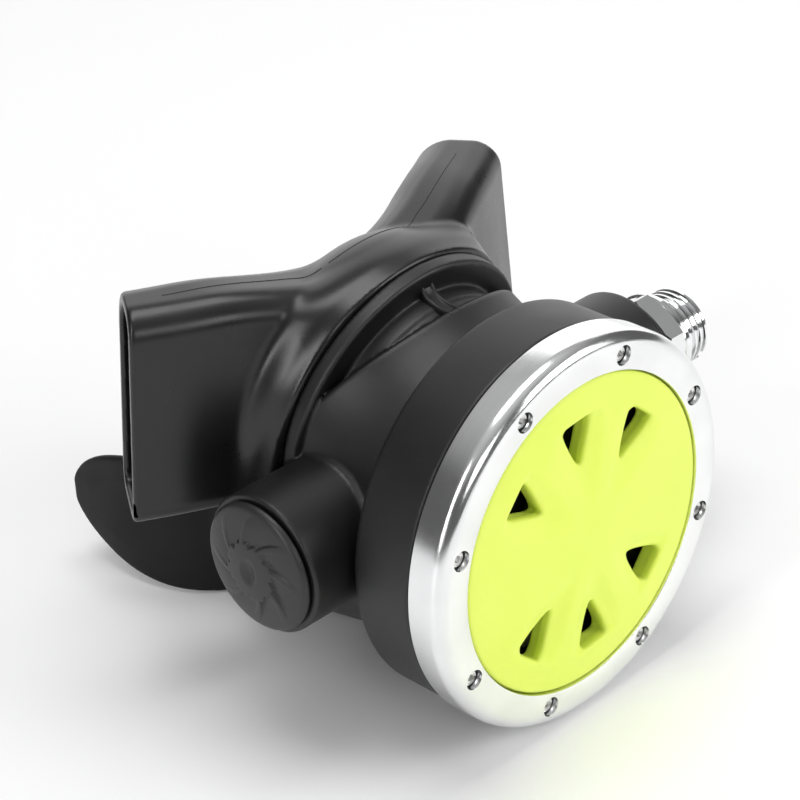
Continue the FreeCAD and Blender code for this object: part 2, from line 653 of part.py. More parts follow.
def inlet_fitting():
    """Chromed inlet: shank in the tube, hexagon, collar, neck, thread and the bore for the hose's stem."""
    thread = [(THREAD_START_X, THREAD_R - THREAD_DEPTH)]
    slope = (THREAD_PITCH - THREAD_CREST) / 2
    for k in range(THREAD_TURNS):
        x = THREAD_START_X + k * THREAD_PITCH
        thread += [(x + slope, THREAD_R), (x + slope + THREAD_CREST, THREAD_R), (x + 2 * slope + THREAD_CREST,
                                                                                THREAD_R - THREAD_DEPTH)]
    end = THREAD_END_X
    profile = [(ORIFICE_X, 0), (ORIFICE_X, ORIFICE_R + 0.3), (ORIFICE_X + ORIFICE_LIP, ORIFICE_R + 1.2),
               (ORIFICE_X + ORIFICE_LIP, TUBE_BORE_R - RUN), (TUBE_END_X, TUBE_BORE_R - RUN), (TUBE_END_X, COLLAR_R - 1),
               (HEX_END_X, COLLAR_R - 1), (HEX_END_X, COLLAR_R - 0.3), (HEX_END_X + 0.3, COLLAR_R),
               (COLLAR_END_X - 0.4, COLLAR_R), (COLLAR_END_X, COLLAR_R - 0.4), (COLLAR_END_X, NECK_R),
               (THREAD_START_X, NECK_R)] + thread[1:] + [(end, THREAD_R - THREAD_DEPTH), (end, 0)]
    body = turned_barrel(profile)
    body = body.fuse(hexagon(FITTING_FLATS, TUBE_END_X, HEX_END_X, FITTING_FLATS / 2))
    bore = turned_barrel([(ORIFICE_X, 0), (ORIFICE_X, ORIFICE_R), (ORIFICE_X + 6, ORIFICE_R),
                          (ORIFICE_X + 8, FEED_BORE_R), (end - INLET_BORE_DEPTH - 1.5, FEED_BORE_R),
                          (end - INLET_BORE_DEPTH, INLET_BORE_R), (end - 0.6, INLET_BORE_R),
                          (end, INLET_BORE_R + 0.6), (end, 0)])
    slot = block((end - SLOT_DEPTH, BARREL_Y - THREAD_R - 1, BARREL_Z - SLOT_WIDTH / 2),
                 (end + 1, BARREL_Y + THREAD_R + 1, BARREL_Z + SLOT_WIDTH / 2))
    slot.rotate(V(end, BARREL_Y, BARREL_Z), X, 35)
    groove = along_barrel(TUBE_BORE_R, fitting_oring_x() - ORING_WIRE_R - TOUCH, fitting_oring_x() + ORING_WIRE_R + TOUCH)
    groove = groove.cut(along_barrel(TUBE_BORE_R - 2 * ORING_WIRE_R - TOUCH, ORIFICE_X, TUBE_END_X))
    return body.cut([bore, slot, groove]).removeSplitter()


def fitting_oring_x():
    return NUT_SEAT_X - 12.0


def inlet_oring():
    return ring_of(TUBE_BORE_R - ORING_WIRE_R - RUN, ORING_WIRE_R, fitting_oring_x())


def lock_nut():
    """Hexagon nut on the tube's end, seated in the housing's recess."""
    nut = hexagon(NUT_FLATS, NUT_SEAT_X, NUT_SEAT_X + NUT_H, NUT_FLATS / 2)
    return nut.cut(along_barrel(TUBE_R + RUN, NUT_SEAT_X, NUT_SEAT_X + NUT_H))


def poppet():
    """Piston that closes the orifice; its stem runs past the lever's foot to a collar."""
    front = ORIFICE_X - TOUCH
    head = turned_barrel([(front - POPPET_HEAD_H, 0), (front - POPPET_HEAD_H, POPPET_R), (front - 0.5, POPPET_R),
                          (front, POPPET_R - 0.5), (front, SEAT_DISC_R + RUN), (front - SEAT_DISC_H, SEAT_DISC_R + RUN),
                          (front - SEAT_DISC_H, 0)])
    stem = along_barrel(POPPET_STEM_R, POPPET_COLLAR_X, front - POPPET_HEAD_H)
    collar = along_barrel(POPPET_COLLAR_R, POPPET_COLLAR_X - POPPET_COLLAR_H, POPPET_COLLAR_X)
    slots = [along_barrel(1.2, front - POPPET_HEAD_H, front)]
    for k, slot in enumerate(slots * 4):
        notch = slot.copy()
        notch.translate(V(0, 0, POPPET_R))
        notch.rotate(V(0, BARREL_Y, BARREL_Z), X, 90 * k + 45)
        head = head.cut(notch)
    return head.fuse([stem, collar]).removeSplitter()


def poppet_seat():
    """Soft disc in the poppet's face."""
    front = ORIFICE_X - TOUCH
    return along_barrel(SEAT_DISC_R, front - SEAT_DISC_H, front)


def poppet_spring():
    """Spring between the poppet's collar and the carrier."""
    spring = coil(SPRING_R, SPRING_R, SPRING_WIRE, SPRING_LENGTH, SPRING_TURNS)
    spring.rotate(V(0, 0, 0), Y, -90)
    spring.translate(V(POPPET_COLLAR_X - POPPET_COLLAR_H - TOUCH, BARREL_Y, BARREL_Z))
    return spring


def carrier_front_x():
    return POPPET_COLLAR_X - POPPET_COLLAR_H - SPRING_LENGTH - 2 * TOUCH


def spring_carrier():
    """Threaded carrier that the knob drives along the tube."""
    front = carrier_front_x()
    body = along_barrel(CARRIER_R, front - CARRIER_LENGTH, front)
    flange = along_barrel(TUBE_BORE_R - RUN, front - 1.2, front)
    return body.fuse(flange).removeSplitter()


def knob_shaft_end():
    return -KNOB_BOSS_END + SHAFT_LENGTH


def knob_pin_x():
    return -KNOB_BOSS_END + PIN_FROM_END


def knob_pin_bar():
    """The pin that stops the knob sliding out; it crosses the tube beside the shaft's groove."""
    return Part.makeCylinder(PIN_R, 2 * TUBE_R, V(knob_pin_x(), BARREL_Y - TUBE_R, BARREL_Z + TUBE_BORE_R - PIN_R / 2), Y)


def knob_pin():
    return knob_pin_bar().common(along_barrel(TUBE_R, knob_pin_x() - 2, knob_pin_x() + 2))


def adjusting_knob():
    """Round cap with a domed petal face on a hollow shaft."""
    side_end = KNOB_START_X - KNOB_SIDE
    cap = turned_barrel([(KNOB_START_X, 0), (KNOB_START_X, KNOB_R - 0.5), (KNOB_START_X - 0.5, KNOB_R),
                         (side_end, KNOB_R), (side_end - 0.8, KNOB_R - 0.7), (side_end - 0.8, 0)])
    face_r = KNOB_R - 0.7
    rise = KNOB_DOME - 0.8
    ball_r = (face_r ** 2 + rise ** 2) / (2 * rise)
    ball = Part.makeSphere(ball_r, V(KNOB_END_X + ball_r, BARREL_Y, BARREL_Z))
    cap = cap.fuse(ball.common(along_barrel(face_r, KNOB_END_X, side_end - 0.8)))
    dimple = Part.makeSphere(KNOB_DIMPLE_R * 2, V(KNOB_END_X + 0.5 - KNOB_DIMPLE_R * 2, BARREL_Y, BARREL_Z))
    petals = [petal(k, face_r) for k in range(KNOB_PETALS)]
    cap = cap.cut(petals + [dimple])
    shaft = along_barrel(TUBE_BORE_R - RUN, KNOB_START_X, knob_shaft_end())
    shaft = shaft.cut(along_barrel(CARRIER_R + RUN, KNOB_START_X + 2, knob_shaft_end()))
    groove_r = TUBE_BORE_R - PIN_R * 1.5 - TOUCH
    groove = along_barrel(TUBE_R, knob_pin_x() - PIN_R - TOUCH, knob_pin_x() + PIN_R + TOUCH)
    groove = groove.cut(along_barrel(groove_r, knob_pin_x() - 3, knob_pin_x() + 3))
    ring = along_barrel(TUBE_R, knob_oring_x() - ORING_WIRE_R - TOUCH, knob_oring_x() + ORING_WIRE_R + TOUCH)
    ring = ring.cut(along_barrel(TUBE_BORE_R - 2 * ORING_WIRE_R - TOUCH, knob_oring_x() - 2, knob_oring_x() + 2))
    return cap.fuse(shaft.cut([groove, ring])).removeSplitter()


def petal(k, face_r):
    """One shallow leaf-shaped recess of the knob's face."""
    near, far = KNOB_DIMPLE_R + 0.8, face_r - 1.2
    mid = (near + far) / 2
    half = mid * math.sin(math.pi / KNOB_PETALS) * 0.72
    x = KNOB_END_X - 1
    points = [V(x, BARREL_Y, BARREL_Z + near), V(x, BARREL_Y + half, BARREL_Z + mid),
              V(x, BARREL_Y, BARREL_Z + far), V(x, BARREL_Y - half, BARREL_Z + mid)]
    sides = [Part.Arc(points[0], points[1], points[2]).toShape(), Part.Arc(points[2], points[3], points[0]).toShape()]
    leaf = Part.Face(Part.Wire(sides)).extrude(V(4, 0, 0))
    ball_r = 40.0
    floor = Part.makeSphere(ball_r, V(KNOB_END_X + PETAL_DEPTH + 0.35 + ball_r, BARREL_Y, BARREL_Z))
    leaf = leaf.cut(floor)
    leaf.rotate(V(0, BARREL_Y, BARREL_Z), X, 360.0 * k / KNOB_PETALS)
    return leaf


def knob_oring_x():
    return -KNOB_BOSS_END + ORING_FROM_END


def knob_oring():
    return ring_of(TUBE_BORE_R - ORING_WIRE_R - RUN, ORING_WIRE_R, knob_oring_x())


def tube_oring(k):
    return ring_of(TUBE_R - ORING_WIRE_R - RUN / 2, ORING_WIRE_R - RUN, tube_oring_places()[k])


def exhaust_seat():
    """Ring with spokes and a hub that carries the exhaust valve."""
    seat = Part.makeCylinder(EXHAUST_SEAT_R, EXHAUST_SEAT_T, V(0, 0, -EXHAUST_SEAT_T))
    seat = seat.cut(Part.makeCylinder(EXHAUST_PORT_R, EXHAUST_SEAT_T, V(0, 0, -EXHAUST_SEAT_T)))
    hub = Part.makeCylinder(EXHAUST_HUB_R, EXHAUST_SEAT_T, V(0, 0, -EXHAUST_SEAT_T))
    spokes = []
    for k in range(SPOKE_COUNT):
        spoke = Part.makeBox(EXHAUST_PORT_R + 1, SPOKE_WIDTH, EXHAUST_SEAT_T - SPOKE_DROP,
                             V(0, -SPOKE_WIDTH / 2, -EXHAUST_SEAT_T))
        spoke.rotate(V(0, 0, 0), Z, 360.0 * k / SPOKE_COUNT + 45)
        spokes.append(spoke)
    seat = seat.fuse([hub] + spokes).cut(Part.makeCylinder(VALVE_STEM_R + RUN, 10, V(0, 0, -5)))
    return on_exhaust(seat.removeSplitter(), VALVE_RISE)


def exhaust_valve():
    """Soft mushroom: a thin disc on the seat and a stem with a bulb behind the hub."""
    bulb_top = -EXHAUST_SEAT_T - VALVE_LIFT - SOFT_GAP
    disc = Part.makeCylinder(VALVE_R, VALVE_T, V(0, 0, TOUCH))
    stem = Part.makeCylinder(VALVE_STEM_R, TOUCH - bulb_top + VALVE_BULB_R, V(0, 0, bulb_top - VALVE_BULB_R))
    bulb = Part.makeCone(VALVE_STEM_R, VALVE_BULB_R, VALVE_BULB_R, V(0, 0, bulb_top - VALVE_BULB_R))
    return on_exhaust(disc.fuse([stem, bulb]).removeSplitter(), VALVE_RISE)


def rounded_outline(centre, across, up, width, low, high, corner):
    """A rounded rectangle: across is its level direction and up its steep one."""
    mid = V(centre.x, centre.y, (low + high) / 2)
    half_w, half_h = width / 2, (high - low) / 2
    flat_w, flat_h = half_w - corner, half_h - corner
    nib = corner * (1 - math.sqrt(0.5))

    def at(u, v):
        return mid + across * u + up * v

    edges = []
    for su, sv in ((1, 1), (-1, 1), (-1, -1), (1, -1)):
        begin = at(su * half_w, sv * flat_h)
        middle = at(su * (half_w - nib), sv * (half_h - nib))
        finish = at(su * flat_w, sv * half_h)
        if su * sv < 0:
            begin, finish = finish, begin
        edges.append(Part.Arc(begin, middle, finish).toShape())
    joined = []
    for k, edge in enumerate(edges):
        joined.append(edge)
        follow = edges[(k + 1) % 4]
        joined.append(Part.makeLine(edge.valueAt(edge.LastParameter), follow.valueAt(follow.FirstParameter)))
    return Part.Wire(joined)


def duct(inset, past):
    """The tee's swept duct from mouth to mouth; inset shrinks it and past lengthens it beyond the mouths."""
    sweep = math.radians(TEE_SWEEP_DEG)
    out_dir = V(math.cos(sweep), math.sin(sweep), 0)
    end = V(TEE_END_X, TEE_END_Y, 0) + out_dir * past
    stations = [(end, TEE_SWEEP_DEG, TEE_MOUTH_DEPTH, TEE_LEAN, 0),
                (V(TEE_MID_X, TEE_MID_Y, 0), TEE_MID_DEG, TEE_DEPTH, TEE_LEAN / 2, TEE_MID_DIP),
                (V(0, TEE_CENTRE_Y, 0), 0, TEE_DEPTH + 2, 0, TEE_CENTRE_DIP)]
    mirrored = [(V(-point.x, point.y, 0), -turn, depth, -lean, dip)
                for point, turn, depth, lean, dip in reversed(stations[:2])]
    outlines = []
    for point, turn, depth, lean, dip in stations + mirrored:
        angle = math.radians(turn)
        across = V(-math.sin(angle), math.cos(angle), 0)
        up = Z - V(math.cos(angle), math.sin(angle), 0) * lean
        outlines.append(rounded_outline(point, across, up, depth - 2 * inset, TEE_FLOOR + inset,
                                        TEE_TOP - dip - inset, TEE_CORNER - inset / 2))
    return tapered(outlines)


def hood(inset):
    """The round hood over the exhaust valve, about the leaning axis."""
    radius = HOOD_R - inset
    reach = HOOD_LENGTH - inset
    points = [V(0, 0, 0), V(radius, 0, 0), V(radius, 0, HOOD_STRAIGHT)]
    shoulder = Part.Arc(points[2], V(radius * 0.86, 0, HOOD_STRAIGHT + (reach - HOOD_STRAIGHT) * 0.62),
                        V(radius * 0.5, 0, reach)).toShape()
    edges = [Part.makeLine(points[0], points[1]), Part.makeLine(points[1], points[2]), shoulder,
             Part.makeLine(V(radius * 0.5, 0, reach), V(0, 0, reach)), Part.makeLine(V(0, 0, reach), points[0])]
    return on_exhaust(Part.Face(Part.Wire(edges)).revolve(V(0, 0, 0), Z, 360))


def exhaust_tee():
    """Hollow tee: a round hood on the collar and two swept arms with open mouths."""
    behind = exhaust_bar(3 * HOOD_R, 0, 4 * HOOD_R)
    outside = duct(0, 0).fuse(hood(0)).common(above_floor(0)).common(behind)
    inside = duct(TEE_WALL, 3).fuse(hood(TEE_WALL)).common(above_floor(TEE_WALL))
    inside = inside.common(exhaust_bar(3 * HOOD_R, TEE_WALL, 4 * HOOD_R))
    port = exhaust_bar(COLLAR_SPIGOT_R + TOUCH, 0, COLLAR_SPIGOT_H + TEE_WALL).common(above_floor(TEE_WALL))
    return outside.cut([inside, port]).removeSplitter()


def tee_clip():
    """Curved strap over the crevice that ties the collar to the shell."""
    lean = math.radians(EXHAUST_TILT)
    up = V(0, -math.sin(lean), math.cos(lean))
    top = exhaust_point(-COLLAR_T / 2) + up * COLLAR_OUT_R
    foot = crevice_rim()
    middle = (top + foot) * 0.5 + V(0, -1.4, 1.4)
    outer = Part.Arc(top, middle, foot).toShape()
    shift = V(0, 0.9, -0.9)
    shift.normalize()
    shift = shift * CLIP_T
    inner = Part.Arc(foot + shift, middle + shift, top + shift).toShape()
    loop = Part.Wire([outer, Part.makeLine(foot, foot + shift), inner, Part.makeLine(top + shift, top)])
    strap = Part.Face(loop).extrude(V(CLIP_WIDTH, 0, 0))
    strap.translate(V(-CLIP_WIDTH / 2, 0, 0))
    return strap.cut(case())


def crevice_rim():
    """The point on the crevice's front edge above the axis."""
    lean = math.radians(EXHAUST_TILT)
    back = exhaust_point(-COLLAR_T)
    up = V(0, -math.sin(lean), math.cos(lean))
    apex = back + up * ((CREVICE_Z - back.z) / up.z)
    spread = lean + math.radians(CREVICE_DEG)
    top_line = V(0, 0, 0)
    top_line.y = (back + up * (COLLAR_OUT_R - 1)).y - RIDGE_Y
    top_line.z = (back + up * (COLLAR_OUT_R - 1)).z - RIDGE_R
    slope = top_line.z / top_line.y
    reach = (RIDGE_R + slope * (apex.y - RIDGE_Y) - apex.z) / (math.cos(spread) + slope * math.sin(spread))
    return V(0, apex.y - reach * math.sin(spread), apex.z + reach * math.cos(spread))


def mouthpiece():
    """Soft mouthpiece: an oval sleeve, a bulge, a neck, a curved flange and two ribbed bite pads."""
    sleeve = oval_bar(TIE_A, TIE_B, SLEEVE_START, TIE_START + TIE_WIDTH + TOUCH)
    bulge_a, bulge_b = TIE_A + BULGE_OUT + TIE_T, TIE_B + BULGE_OUT + TIE_T
    bulge = tapered([oval(bulge_a - 0.8, bulge_b - 0.8, TIE_START + TIE_WIDTH + TOUCH, MOUTH_Z),
                     oval(bulge_a, bulge_b, TIE_START + TIE_WIDTH + 1.5, MOUTH_Z),
                     oval(TIE_A, TIE_B, BULGE_END, MOUTH_Z)])
    lip = oval_bar(TIE_A + TIE_T, TIE_B + TIE_T, SLEEVE_START, TIE_START - TOUCH)
    neck = tapered([oval(TIE_A - 0.6, TIE_B - 0.6, BULGE_END, MOUTH_Z),
                    oval(NECK_A, NECK_B, NECK_END + FLANGE_T, MOUTH_Z)])
    solid = sleeve.fuse([bulge, lip, neck, flange(), bite_pads()])
    socket = oval_bar(SPIGOT_A + RUN, SPIGOT_B + RUN, SLEEVE_START, SPIGOT_END + TOUCH)
    bore = oval_bar(BORE_A, BORE_B, SPIGOT_END, FLANGE_Y + 3 * FLANGE_T)
    notch = along_y(NOTCH_R, FLANGE_Y + FLANGE_T / 2, WING_TIP_Y, z=MOUTH_Z - FLANGE_HALF_H - NOTCH_R / 2)
    return solid.cut([socket, bore, notch]).removeSplitter()


def arch(radius, start_y, end_y, low, high):
    """A U-shaped block: half round towards the neck, straight towards the wing tips."""
    centre = V(0, FLANGE_Y + FLANGE_R, low)
    round_part = Part.makeCylinder(radius, high - low, centre, Z)
    straight = block((-radius, centre.y, low), (radius, WING_TIP_Y, high))
    return round_part.fuse(straight).common(block((-radius, start_y, low), (radius, end_y, high)))


def flange():
    """Curved shield in front of the teeth, with rounded wing tips."""
    low, high = MOUTH_Z - FLANGE_HALF_H, MOUTH_Z + FLANGE_HALF_H
    wall = arch(FLANGE_R, FLANGE_Y, WING_TIP_Y, low, high).cut(
        arch(FLANGE_R - FLANGE_T, FLANGE_Y, WING_TIP_Y, low, high))
    tip_centre = WING_TIP_Y - WING_TIP_R
    tip = Part.makeCylinder(WING_TIP_R, 2 * FLANGE_R, V(-FLANGE_R, tip_centre, MOUTH_Z), X)
    back_y = FLANGE_Y + FLANGE_R / 2
    side = [V(-FLANGE_R, FLANGE_Y, low), V(-FLANGE_R, back_y, low), V(-FLANGE_R, tip_centre, MOUTH_Z - WING_TIP_R),
            V(-FLANGE_R, tip_centre, MOUTH_Z + WING_TIP_R), V(-FLANGE_R, back_y, high), V(-FLANGE_R, FLANGE_Y, high)]
    profile = Part.Face(Part.makePolygon(side + side[:1])).extrude(V(2 * FLANGE_R, 0, 0))
    return wall.common(profile.fuse(tip))


def bite_pads():
    """The two pads that the teeth hold, each with an upright lug at its inner edge."""
    outer_r = FLANGE_R - FLANGE_T
    inner_r = outer_r - PAD_WIDTH
    low, high = MOUTH_Z - PAD_T / 2, MOUTH_Z + PAD_T / 2
    pad = arch(outer_r, FLANGE_Y, PAD_END_Y, low, high).cut(arch(inner_r, FLANGE_Y, PAD_END_Y, low, high))
    low, high = MOUTH_Z - LUG_HALF_H, MOUTH_Z + LUG_HALF_H
    lug = arch(inner_r + LUG_T, FLANGE_Y, LUG_END_Y, low, high).cut(
        arch(inner_r, FLANGE_Y, LUG_END_Y, low, high))
    return pad.fuse(lug).cut(block((-PAD_START_X, FLANGE_Y, low), (PAD_START_X, FLANGE_Y + FLANGE_R, high)))


def cable_tie():
    """Tie round the mouthpiece's sleeve, with its square head at the lower inlet side."""
    band = oval_bar(TIE_A + TIE_T, TIE_B + TIE_T, TIE_START, TIE_START + TIE_WIDTH)
    turn = math.radians(TIE_HEAD_DEG)
    seat = V(TIE_A * math.cos(turn), TIE_START + TIE_WIDTH / 2, MOUTH_Z + TIE_B * math.sin(turn))
    lean = math.atan2(TIE_A * math.sin(turn), TIE_B * math.cos(turn))
    over_ridges = TIE_T + BULGE_OUT + SOFT_GAP
    foot = Part.makeBox(over_ridges + 1, TIE_WIDTH, TIE_HEAD_LENGTH, V(-1, -TIE_WIDTH / 2, -TIE_HEAD_LENGTH / 2))
    head = Part.makeBox(TIE_HEAD_T - over_ridges, TIE_HEAD_WIDTH, TIE_HEAD_LENGTH,
                        V(over_ridges, -TIE_HEAD_WIDTH / 2, -TIE_HEAD_LENGTH / 2))
    lock = foot.fuse(head)
    lock.rotate(V(0, 0, 0), Y, -math.degrees(lean))
    lock.translate(seat)
    sleeve = oval_bar(TIE_A + RUN, TIE_B + RUN, TIE_START, TIE_START + TIE_WIDTH)
    return band.fuse(lock).cut(sleeve).removeSplitter()


def build():
    """Every piece by its node's name."""
    pieces = {
        "case": case(),
        "exhaust_tee": exhaust_tee(),
        "tee_clip": tee_clip(),
        "retaining_ring": retaining_ring(),
        "guard_plate": guard_plate(),
        "purge_cover": purge_cover(),
        "purge_spring": purge_spring(),
        "diaphragm": diaphragm(),
        "diaphragm_disc": diaphragm_disc(),
        "valve_tube": valve_tube(),
        "lever_pin": lever_pin(),
        "demand_lever": demand_lever(),
        "inlet_fitting": inlet_fitting(),
        "inlet_oring": inlet_oring(),
        "lock_nut": lock_nut(),
        "poppet": poppet(),
        "poppet_seat": poppet_seat(),
        "poppet_spring": poppet_spring(),
        "spring_carrier": spring_carrier(),
        "adjusting_knob": adjusting_knob(),
        "knob_pin": knob_pin(),
        "knob_oring": knob_oring(),
        "exhaust_seat": exhaust_seat(),
        "exhaust_valve": exhaust_valve(),
        "mouthpiece": mouthpiece(),
        "cable_tie": cable_tie(),
    }
    for k in range(len(tube_oring_places())):
        pieces["tube_oring_%d" % (k + 1)] = tube_oring(k)
    for k in range(SCREW_COUNT):
        pieces["ring_screw_%d" % (k + 1)] = ring_screw(k)
    return pieces


def place(shape):
    """Moves a piece so that the origin is under the middle of the whole part."""
    moved = shape.copy()
    moved.translate(ORIGIN * -1)
    return moved


os.makedirs("parts", exist_ok=True)
for name, shape in build().items():
    placed = place(shape)
    box = placed.BoundBox
    print(name, "solids", len(placed.Solids), "valid", placed.isValid(), "volume", round(placed.Volume, 1),
          "x %.2f %.2f y %.2f %.2f z %.2f %.2f" % (box.XMin, box.XMax, box.YMin, box.YMax, box.ZMin, box.ZMax))
    placed.exportStep("parts/" + name + ".step")
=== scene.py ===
import math
import bmesh
import bpy
import numpy as np
from mathutils import Matrix, Vector


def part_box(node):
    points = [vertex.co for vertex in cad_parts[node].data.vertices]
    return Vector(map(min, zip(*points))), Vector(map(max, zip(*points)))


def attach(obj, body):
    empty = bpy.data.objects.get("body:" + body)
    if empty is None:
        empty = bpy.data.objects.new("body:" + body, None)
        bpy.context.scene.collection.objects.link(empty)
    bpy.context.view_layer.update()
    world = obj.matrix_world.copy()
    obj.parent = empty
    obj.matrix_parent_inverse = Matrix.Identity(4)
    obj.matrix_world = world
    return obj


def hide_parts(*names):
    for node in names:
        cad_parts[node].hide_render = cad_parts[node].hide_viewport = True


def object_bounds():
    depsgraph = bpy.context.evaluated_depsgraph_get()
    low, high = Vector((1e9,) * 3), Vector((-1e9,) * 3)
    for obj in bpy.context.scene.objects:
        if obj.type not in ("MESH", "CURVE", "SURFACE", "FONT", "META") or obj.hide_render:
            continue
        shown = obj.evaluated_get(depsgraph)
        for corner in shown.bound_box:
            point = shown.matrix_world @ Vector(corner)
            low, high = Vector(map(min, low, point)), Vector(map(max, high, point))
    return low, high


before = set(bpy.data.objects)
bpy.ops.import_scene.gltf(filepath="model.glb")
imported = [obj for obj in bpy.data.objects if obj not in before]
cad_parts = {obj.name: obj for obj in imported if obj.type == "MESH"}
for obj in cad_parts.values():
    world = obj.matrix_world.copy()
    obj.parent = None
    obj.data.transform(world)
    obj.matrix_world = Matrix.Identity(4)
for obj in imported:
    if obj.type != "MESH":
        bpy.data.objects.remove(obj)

cad_low, cad_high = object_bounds()

# Drawing axes
# The shell is round about a line along Y through the middle of the chrome ring. Every size of the part is in
# millimetres from that line's point at the ring's rear edge: X towards the inlet, Y to the mouth, Z up.
ring_low, ring_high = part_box("retaining_ring")
drawing_zero = np.array([(ring_low.x + ring_high.x) / 2, ring_high.y, (ring_low.z + ring_high.z) / 2])
metres_per_mm = 0.001


def in_frame(points):
    """Drawing millimetres to metres in the row frame."""
    return drawing_zero + np.asarray(points, float) * metres_per_mm


# Camera
# A long lens looks down at the cover from the knob's side, as the photograph does. The eye's place and roll
# are those of the photograph; the aim is the middle of the part, so that all of it is in the picture.
eye_azimuth = math.radians(-43.99)
eye_elevation = math.radians(30.63)
eye_roll = math.radians(3.11)
eye_distance = 450.0
eye_aside = (-26.75, 14.31)
photo_px_per_mm = 4.44
picture_enlarged = 1.38
picture_px = 800
back = Vector((math.sin(eye_azimuth) * math.cos(eye_elevation),
               -math.cos(eye_azimuth) * math.cos(eye_elevation), math.sin(eye_elevation)))
level = Vector((0, 0, 1)).cross(back).normalized()
upright = back.cross(level)
rightward = level * math.cos(eye_roll) - upright * math.sin(eye_roll)
up = level * math.sin(eye_roll) + upright * math.cos(eye_roll)
eye = Vector(in_frame(rightward * eye_aside[0] + up * eye_aside[1] + back * eye_distance))
aim_back = (eye - (cad_low + cad_high) / 2).normalized()
aim_across = up.cross(aim_back).normalized()
aim_up = aim_back.cross(aim_across)
camera_data = bpy.data.cameras.new("camera")
camera_data.sensor_width = 36.0
camera_data.lens = photo_px_per_mm * picture_enlarged * eye_distance / picture_px * camera_data.sensor_width
camera_data.clip_start = 0.02
camera_data.clip_end = 20.0
camera = bpy.data.objects.new("camera", camera_data)
bpy.context.scene.collection.objects.link(camera)
camera.matrix_world = Matrix.Translation(eye) @ Matrix((aim_across, aim_up, aim_back)).transposed().to_4x4()
bpy.context.scene.camera = camera
bpy.context.scene.view_settings.view_transform = "Standard"

# Studio
# A white table under soft boxes, with a dim room round them, so that the black plastic stays black and the
# chrome has something dark to mirror. The sizes in this section are in metres.
room_dim_height, room_dim_grey = 0.52, 0.12
room_pale_height, room_pale_grey = 0.95, 0.62
room = bpy.data.worlds.new("studio_room")
room.use_nodes = True
bpy.context.scene.world = room
room_nodes, room_links = room.node_tree.nodes, room.node_tree.links
room_place = room_nodes.new("ShaderNodeTexCoord")
room_height = room_nodes.new("ShaderNodeSeparateXYZ")
room_fade = room_nodes.new("ShaderNodeValToRGB")
for end, height, grey in ((0, room_dim_height, room_dim_grey), (1, room_pale_height, room_pale_grey)):
    room_fade.color_ramp.elements[end].position = height
    room_fade.color_ramp.elements[end].color = (grey, grey, grey, 1.0)
room_links.new(room_place.outputs["Generated"], room_height.inputs["Vector"])
room_links.new(room_height.outputs["Z"], room_fade.inputs["Fac"])
room_links.new(room_fade.outputs["Color"], room_nodes["Background"].inputs["Color"])
room_nodes["Background"].inputs["Strength"].default_value = 1.0


def softbox(name, place, size, glow):
    """A soft light with an even glow at a place in metres, aimed at the part."""
    light = bpy.data.lights.new(name, "AREA")
    light.shape = "RECTANGLE"
    light.size, light.size_y = size
    light.energy = glow * math.pi * size[0] * size[1]
    lamp = bpy.data.objects.new(name, light)
    bpy.context.scene.collection.objects.link(lamp)
    target = (cad_low + cad_high) / 2
    lamp.location = place
    lamp.rotation_euler = (target - Vector(place)).to_track_quat("-Z", "Y").to_euler()


softbox("light_overhead", (0.0, 0.05, 0.8), (0.5, 0.35), 4.1)
softbox("light_left", (-0.75, -0.05, 0.4), (0.15, 0.6), 7.0)
softbox("light_front_right", (0.5, -0.8, 0.45), (0.6, 0.5), 4.6)
softbox("light_front_left", (-0.35, -0.9, 0.5), (0.4, 0.3), 4.0)
softbox("light_backdrop", (0.8, 0.85, 0.5), (1.8, 1.1), 1.25)

table_half = 3.0
table_mesh = bpy.data.meshes.new("table_top")
table_corners = [(across * table_half, along * table_half, cad_low.z)
                 for across, along in ((-1, -1), (1, -1), (1, 1), (-1, 1))]
table_mesh.from_pydata(table_corners, [], [(0, 1, 2, 3)])
table = bpy.data.objects.new("table_top", table_mesh)
bpy.context.scene.collection.objects.link(table)
table_finish = bpy.data.materials.new("white_table")
table_finish.use_nodes = True
table_shader = table_finish.node_tree.nodes["Principled BSDF"]
table_shader.inputs["Base Color"].default_value = (0.93, 0.93, 0.93, 1.0)
table_shader.inputs["Roughness"].default_value = 0.6
table_mesh.materials.append(table_finish)

# Shell
# One thick black moulding of glass-filled nylon: the drum behind the ring, the neck that leans back to the
# exhaust, the cross barrel and the oval spout for the mouthpiece. Its skin has the mould's fine spark grain.


def melt(one, other, width):
    """Two solids as one, with a soft hollow of that width where they meet."""
    share = np.clip(0.5 + 0.5 * (other - one) / width, 0, 1)
    return other + (one - other) * share - width * share * (1 - share)


def within(one, other, width):
    """What two solids have in common, with a softened edge."""
    return -melt(-one, -other, width)


def carve(solid, tool, width):
    """A solid with a tool's shape taken away, with a softened edge."""
    return -melt(-solid, tool, width)


def between(value, low, high):
    """How far a value is outside a range."""
    return np.abs(value - (low + high) / 2) - (high - low) / 2


def ease(value, low, high):
    """0 below low, 1 above high and a smooth step between."""
    share = np.clip((value - low) / (high - low), 0, 1)
    return share * share * (3 - 2 * share)


def oval_gap(x, z, wide, tall):
    """About how far a point is outside an oval."""
    near = np.hypot(x / wide, z / tall)
    slope = np.hypot(x / wide ** 2, z / tall ** 2) + 1e-6
    return near * (near - 1) / slope


def rounded(side, end, radius):
    """A form with one round edge, from how far a point is outside the two faces moved in by the radius."""
    beyond = np.hypot(np.maximum(side, 0), np.maximum(end, 0))
    return beyond + np.minimum(np.maximum(side, end), 0) - radius


coarse = 1.0


